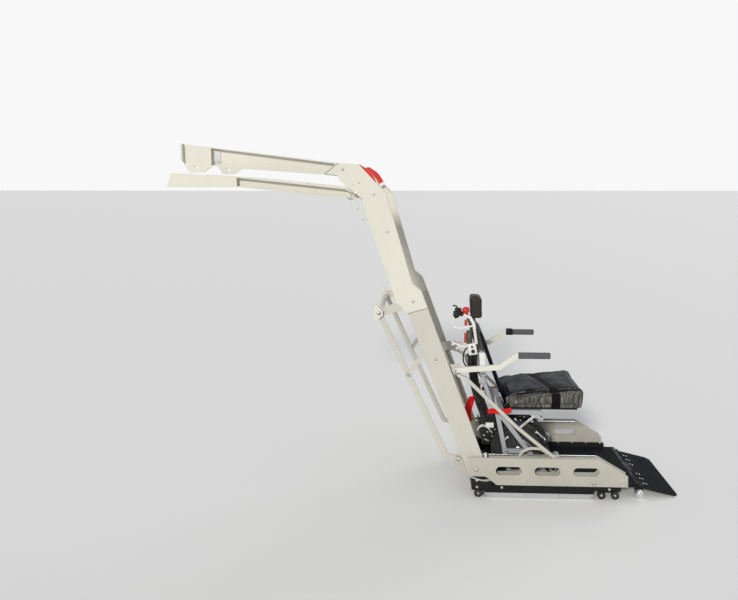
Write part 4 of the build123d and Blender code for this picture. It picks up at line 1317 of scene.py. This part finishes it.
def shape_top(point, crown):
    """Gives the seat's top its crown, dip and folds, and the press of the belt."""
    dip = bell(point.x - 0.500, 0.055) * bell(point.y, 0.15)
    wrinkle = noise.noise(Vector((point.x * 14, point.y * 14, 1)))
    long_fold = noise.noise(Vector(((point.x + 0.3 * point.y) * 40, point.y * 6, 9)))
    point.z += 0.006 * crown - 0.006 * dip + 0.0020 * wrinkle + 0.0014 * long_fold
    point.z -= 0.0070 * bell(point.x - belt_line_x(point.y), 0.034)


def seat_cushion():
    piece = remeshed("seat_pad", SEAT_OUTLINE, 196, 8, 0.0042)
    inflated(piece, 0.009, lambda point, normal: smoothstep(0.467, 0.480, point.z))
    for vertex in piece.data.vertices:
        point = vertex.co
        top = seat_top(point.x)
        crown = dome((point.x - SEAT_MIDDLE_X) / 0.20) * dome(point.y / 0.195)
        side = max(smoothstep(0.165, 0.190, abs(point.y)), smoothstep(0.800, 0.826, point.x))
        band = smoothstep(0.470, 0.490, point.z) * smoothstep(top + 0.001, top - 0.020, point.z)
        run = point.x if abs(point.y) > 0.17 else point.y
        free = 1 - bell(point.x - belt_line_x(point.y), 0.044, 4)
        push = gathers(run, point.z, point.y) * side * band * free
        tuck = -0.0022 * side * (1 - smoothstep(0.0, 0.008, abs(point.z - top + 0.008)))
        point.y += math.copysign(push + tuck, point.y) * smoothstep(0.15, 0.19, abs(point.y))
        point.x += (push + tuck) * smoothstep(0.79, 0.825, point.x)
        if point.z > top - 0.012:
            shape_top(point, crown)
        elif side > 0.5:
            press = bell(point.x - belt_line_x(point.y), 0.030, 4)
            point.y -= math.copysign(0.0025 * press, point.y)
    finish_soft(piece, "seat_cushion", "seat_vinyl")
    return piece


def surface_tree(piece):
    return BVHTree.FromPolygons(
        [vertex.co for vertex in piece.data.vertices],
        [list(face.vertices) for face in piece.data.polygons],
    )


def lap_belt(tree):
    """The dark belt that lies across the seat and goes down both sides."""
    points = []
    for step in range(-19, 20):
        y = step * 0.01
        hit = tree.ray_cast(Vector((belt_line_x(y), y, 0.7)), Vector((0, 0, -1)))[0]
        if hit is not None:
            points.append(hit + Vector((0, 0, 0.0016)))
    for side in (-1, 1):
        x = belt_line_x(side * 0.2)
        down = []
        for z in (0.560, 0.548, 0.530, 0.510, 0.490, 0.474):
            hit = tree.ray_cast(Vector((x, side * 0.3, z)), Vector((0, -side, 0)))[0]
            if hit is not None:
                down.append(hit + Vector((0, side * 0.0030, 0)))
        down.append(Vector((x, side * 0.192, 0.4605)))
        points = points + down if side > 0 else list(reversed(down)) + points
    line = [point / MM for point in points]
    add_piece("lap_belt", lambda shape: strap(shape, line, 46, 2.4, (1, 0, 0)), "webbing",
              "carriage")


def welts(tree):
    """The piped seam round the top of the seat."""
    line = []
    count = 220
    for step in range(count):
        angle = 2 * math.pi * step / count
        direction = Vector((math.cos(angle), math.sin(angle), 0))
        reach = 0.2 * max(min(1.5 * direction.x, 1), -1)
        middle = Vector((SEAT_MIDDLE_X, 0, seat_top(SEAT_MIDDLE_X + reach) - 0.008))
        hit = tree.ray_cast(middle + direction * 0.5, -direction)[0]
        if hit is not None and hit.x > 0.43:
            line.append((hit + direction * 0.0004) / MM)
    split = max(range(len(line) - 1), key=lambda i: (line[i + 1] - line[i]).length)
    line = line[split + 1:] + line[:split + 1]
    add_piece("seat_welt", lambda shape: rod(shape, line, 1.7, 8), "vinyl", "carriage",
              "welt_vinyl")


# The back's front line, in X and Z from its top to its foot, and how much its top thins
BACK_LINE = ((272, 925), (282, 892), (330, 735), (376, 605), (437, 455))
BACK_HEIGHTS = (876, 850, 820, 790, 735, 680, 605, 560, 500, 459)
BACK_TAPER = {876: 12.0, 850: 9.5, 820: 6.5, 790: 3.5}
BACK_SEAMS = (0.560, 0.670, 0.770)


def back_x(z):
    for (x0, z0), (x1, z1) in zip(BACK_LINE, BACK_LINE[1:]):
        if z1 <= z <= z0:
            return x0 + (z0 - z) / (z0 - z1) * (x1 - x0)
    return BACK_LINE[-1][0]


def back_pad():
    front = [(back_x(z) - BACK_TAPER.get(z, 1.5), z) for z in BACK_HEIGHTS]
    rear = [(back_x(z) - 17.2, z) for z in reversed(BACK_HEIGHTS)]
    piece = remeshed("back_pad", front + rear, 136, 4, 0.0045)
    inflated(piece, 0.006, lambda point, normal: smoothstep(-0.8, 0.4, normal.x))
    for vertex in piece.data.vertices:
        point = vertex.co
        depth = back_x(point.z / MM) * MM - point.x
        if depth < 0.010 and point.z < 0.79:
            across = dome(point.y / 0.135, 4)
            channel = bell(min(abs(point.z - z) for z in BACK_SEAMS), 0.005)
            point.x += 0.0015 * across - 0.0045 * channel * across
            point.x += 0.0012 * noise.noise(Vector((point.y * 22, point.z * 22, 5)))
    finish_soft(piece, "backrest", "vinyl")


HEAD_OUTLINE = ((233, 927), (289, 927), (287, 1034), (280, 1045), (232, 1047), (227, 1038))


def head_rest():
    piece = remeshed("head_rest", HEAD_OUTLINE, 57, 4, 0.0035)
    inflated(piece, 0.0025, lambda point, normal: 1.0)
    for vertex in piece.data.vertices:
        point = vertex.co
        welt = bell(abs(point.y) - 0.047, 0.003)
        point.z -= 0.0016 * welt * smoothstep(1.03, 1.04, point.z)
        point.x += 0.001 * noise.noise(point * 30)
        point.y += 0.0012 * noise.noise(point * 26 + Vector((4, 0, 0)))
    finish_soft(piece, "head_pad", "head_vinyl")


def build_soft():
    tree = surface_tree(seat_cushion())
    back_pad()
    head_rest()
    welts(tree)
    lap_belt(tree)


def main():
    make_world()
    make_camera()
    for name, values in LAMPS.items():
        sun_light(name, *values)
    make_stage()
    dress_frame_nodes()
    build_side_frames()
    build_base()
    build_platform()
    build_chair()
    build_controls()
    build_soft()


main()
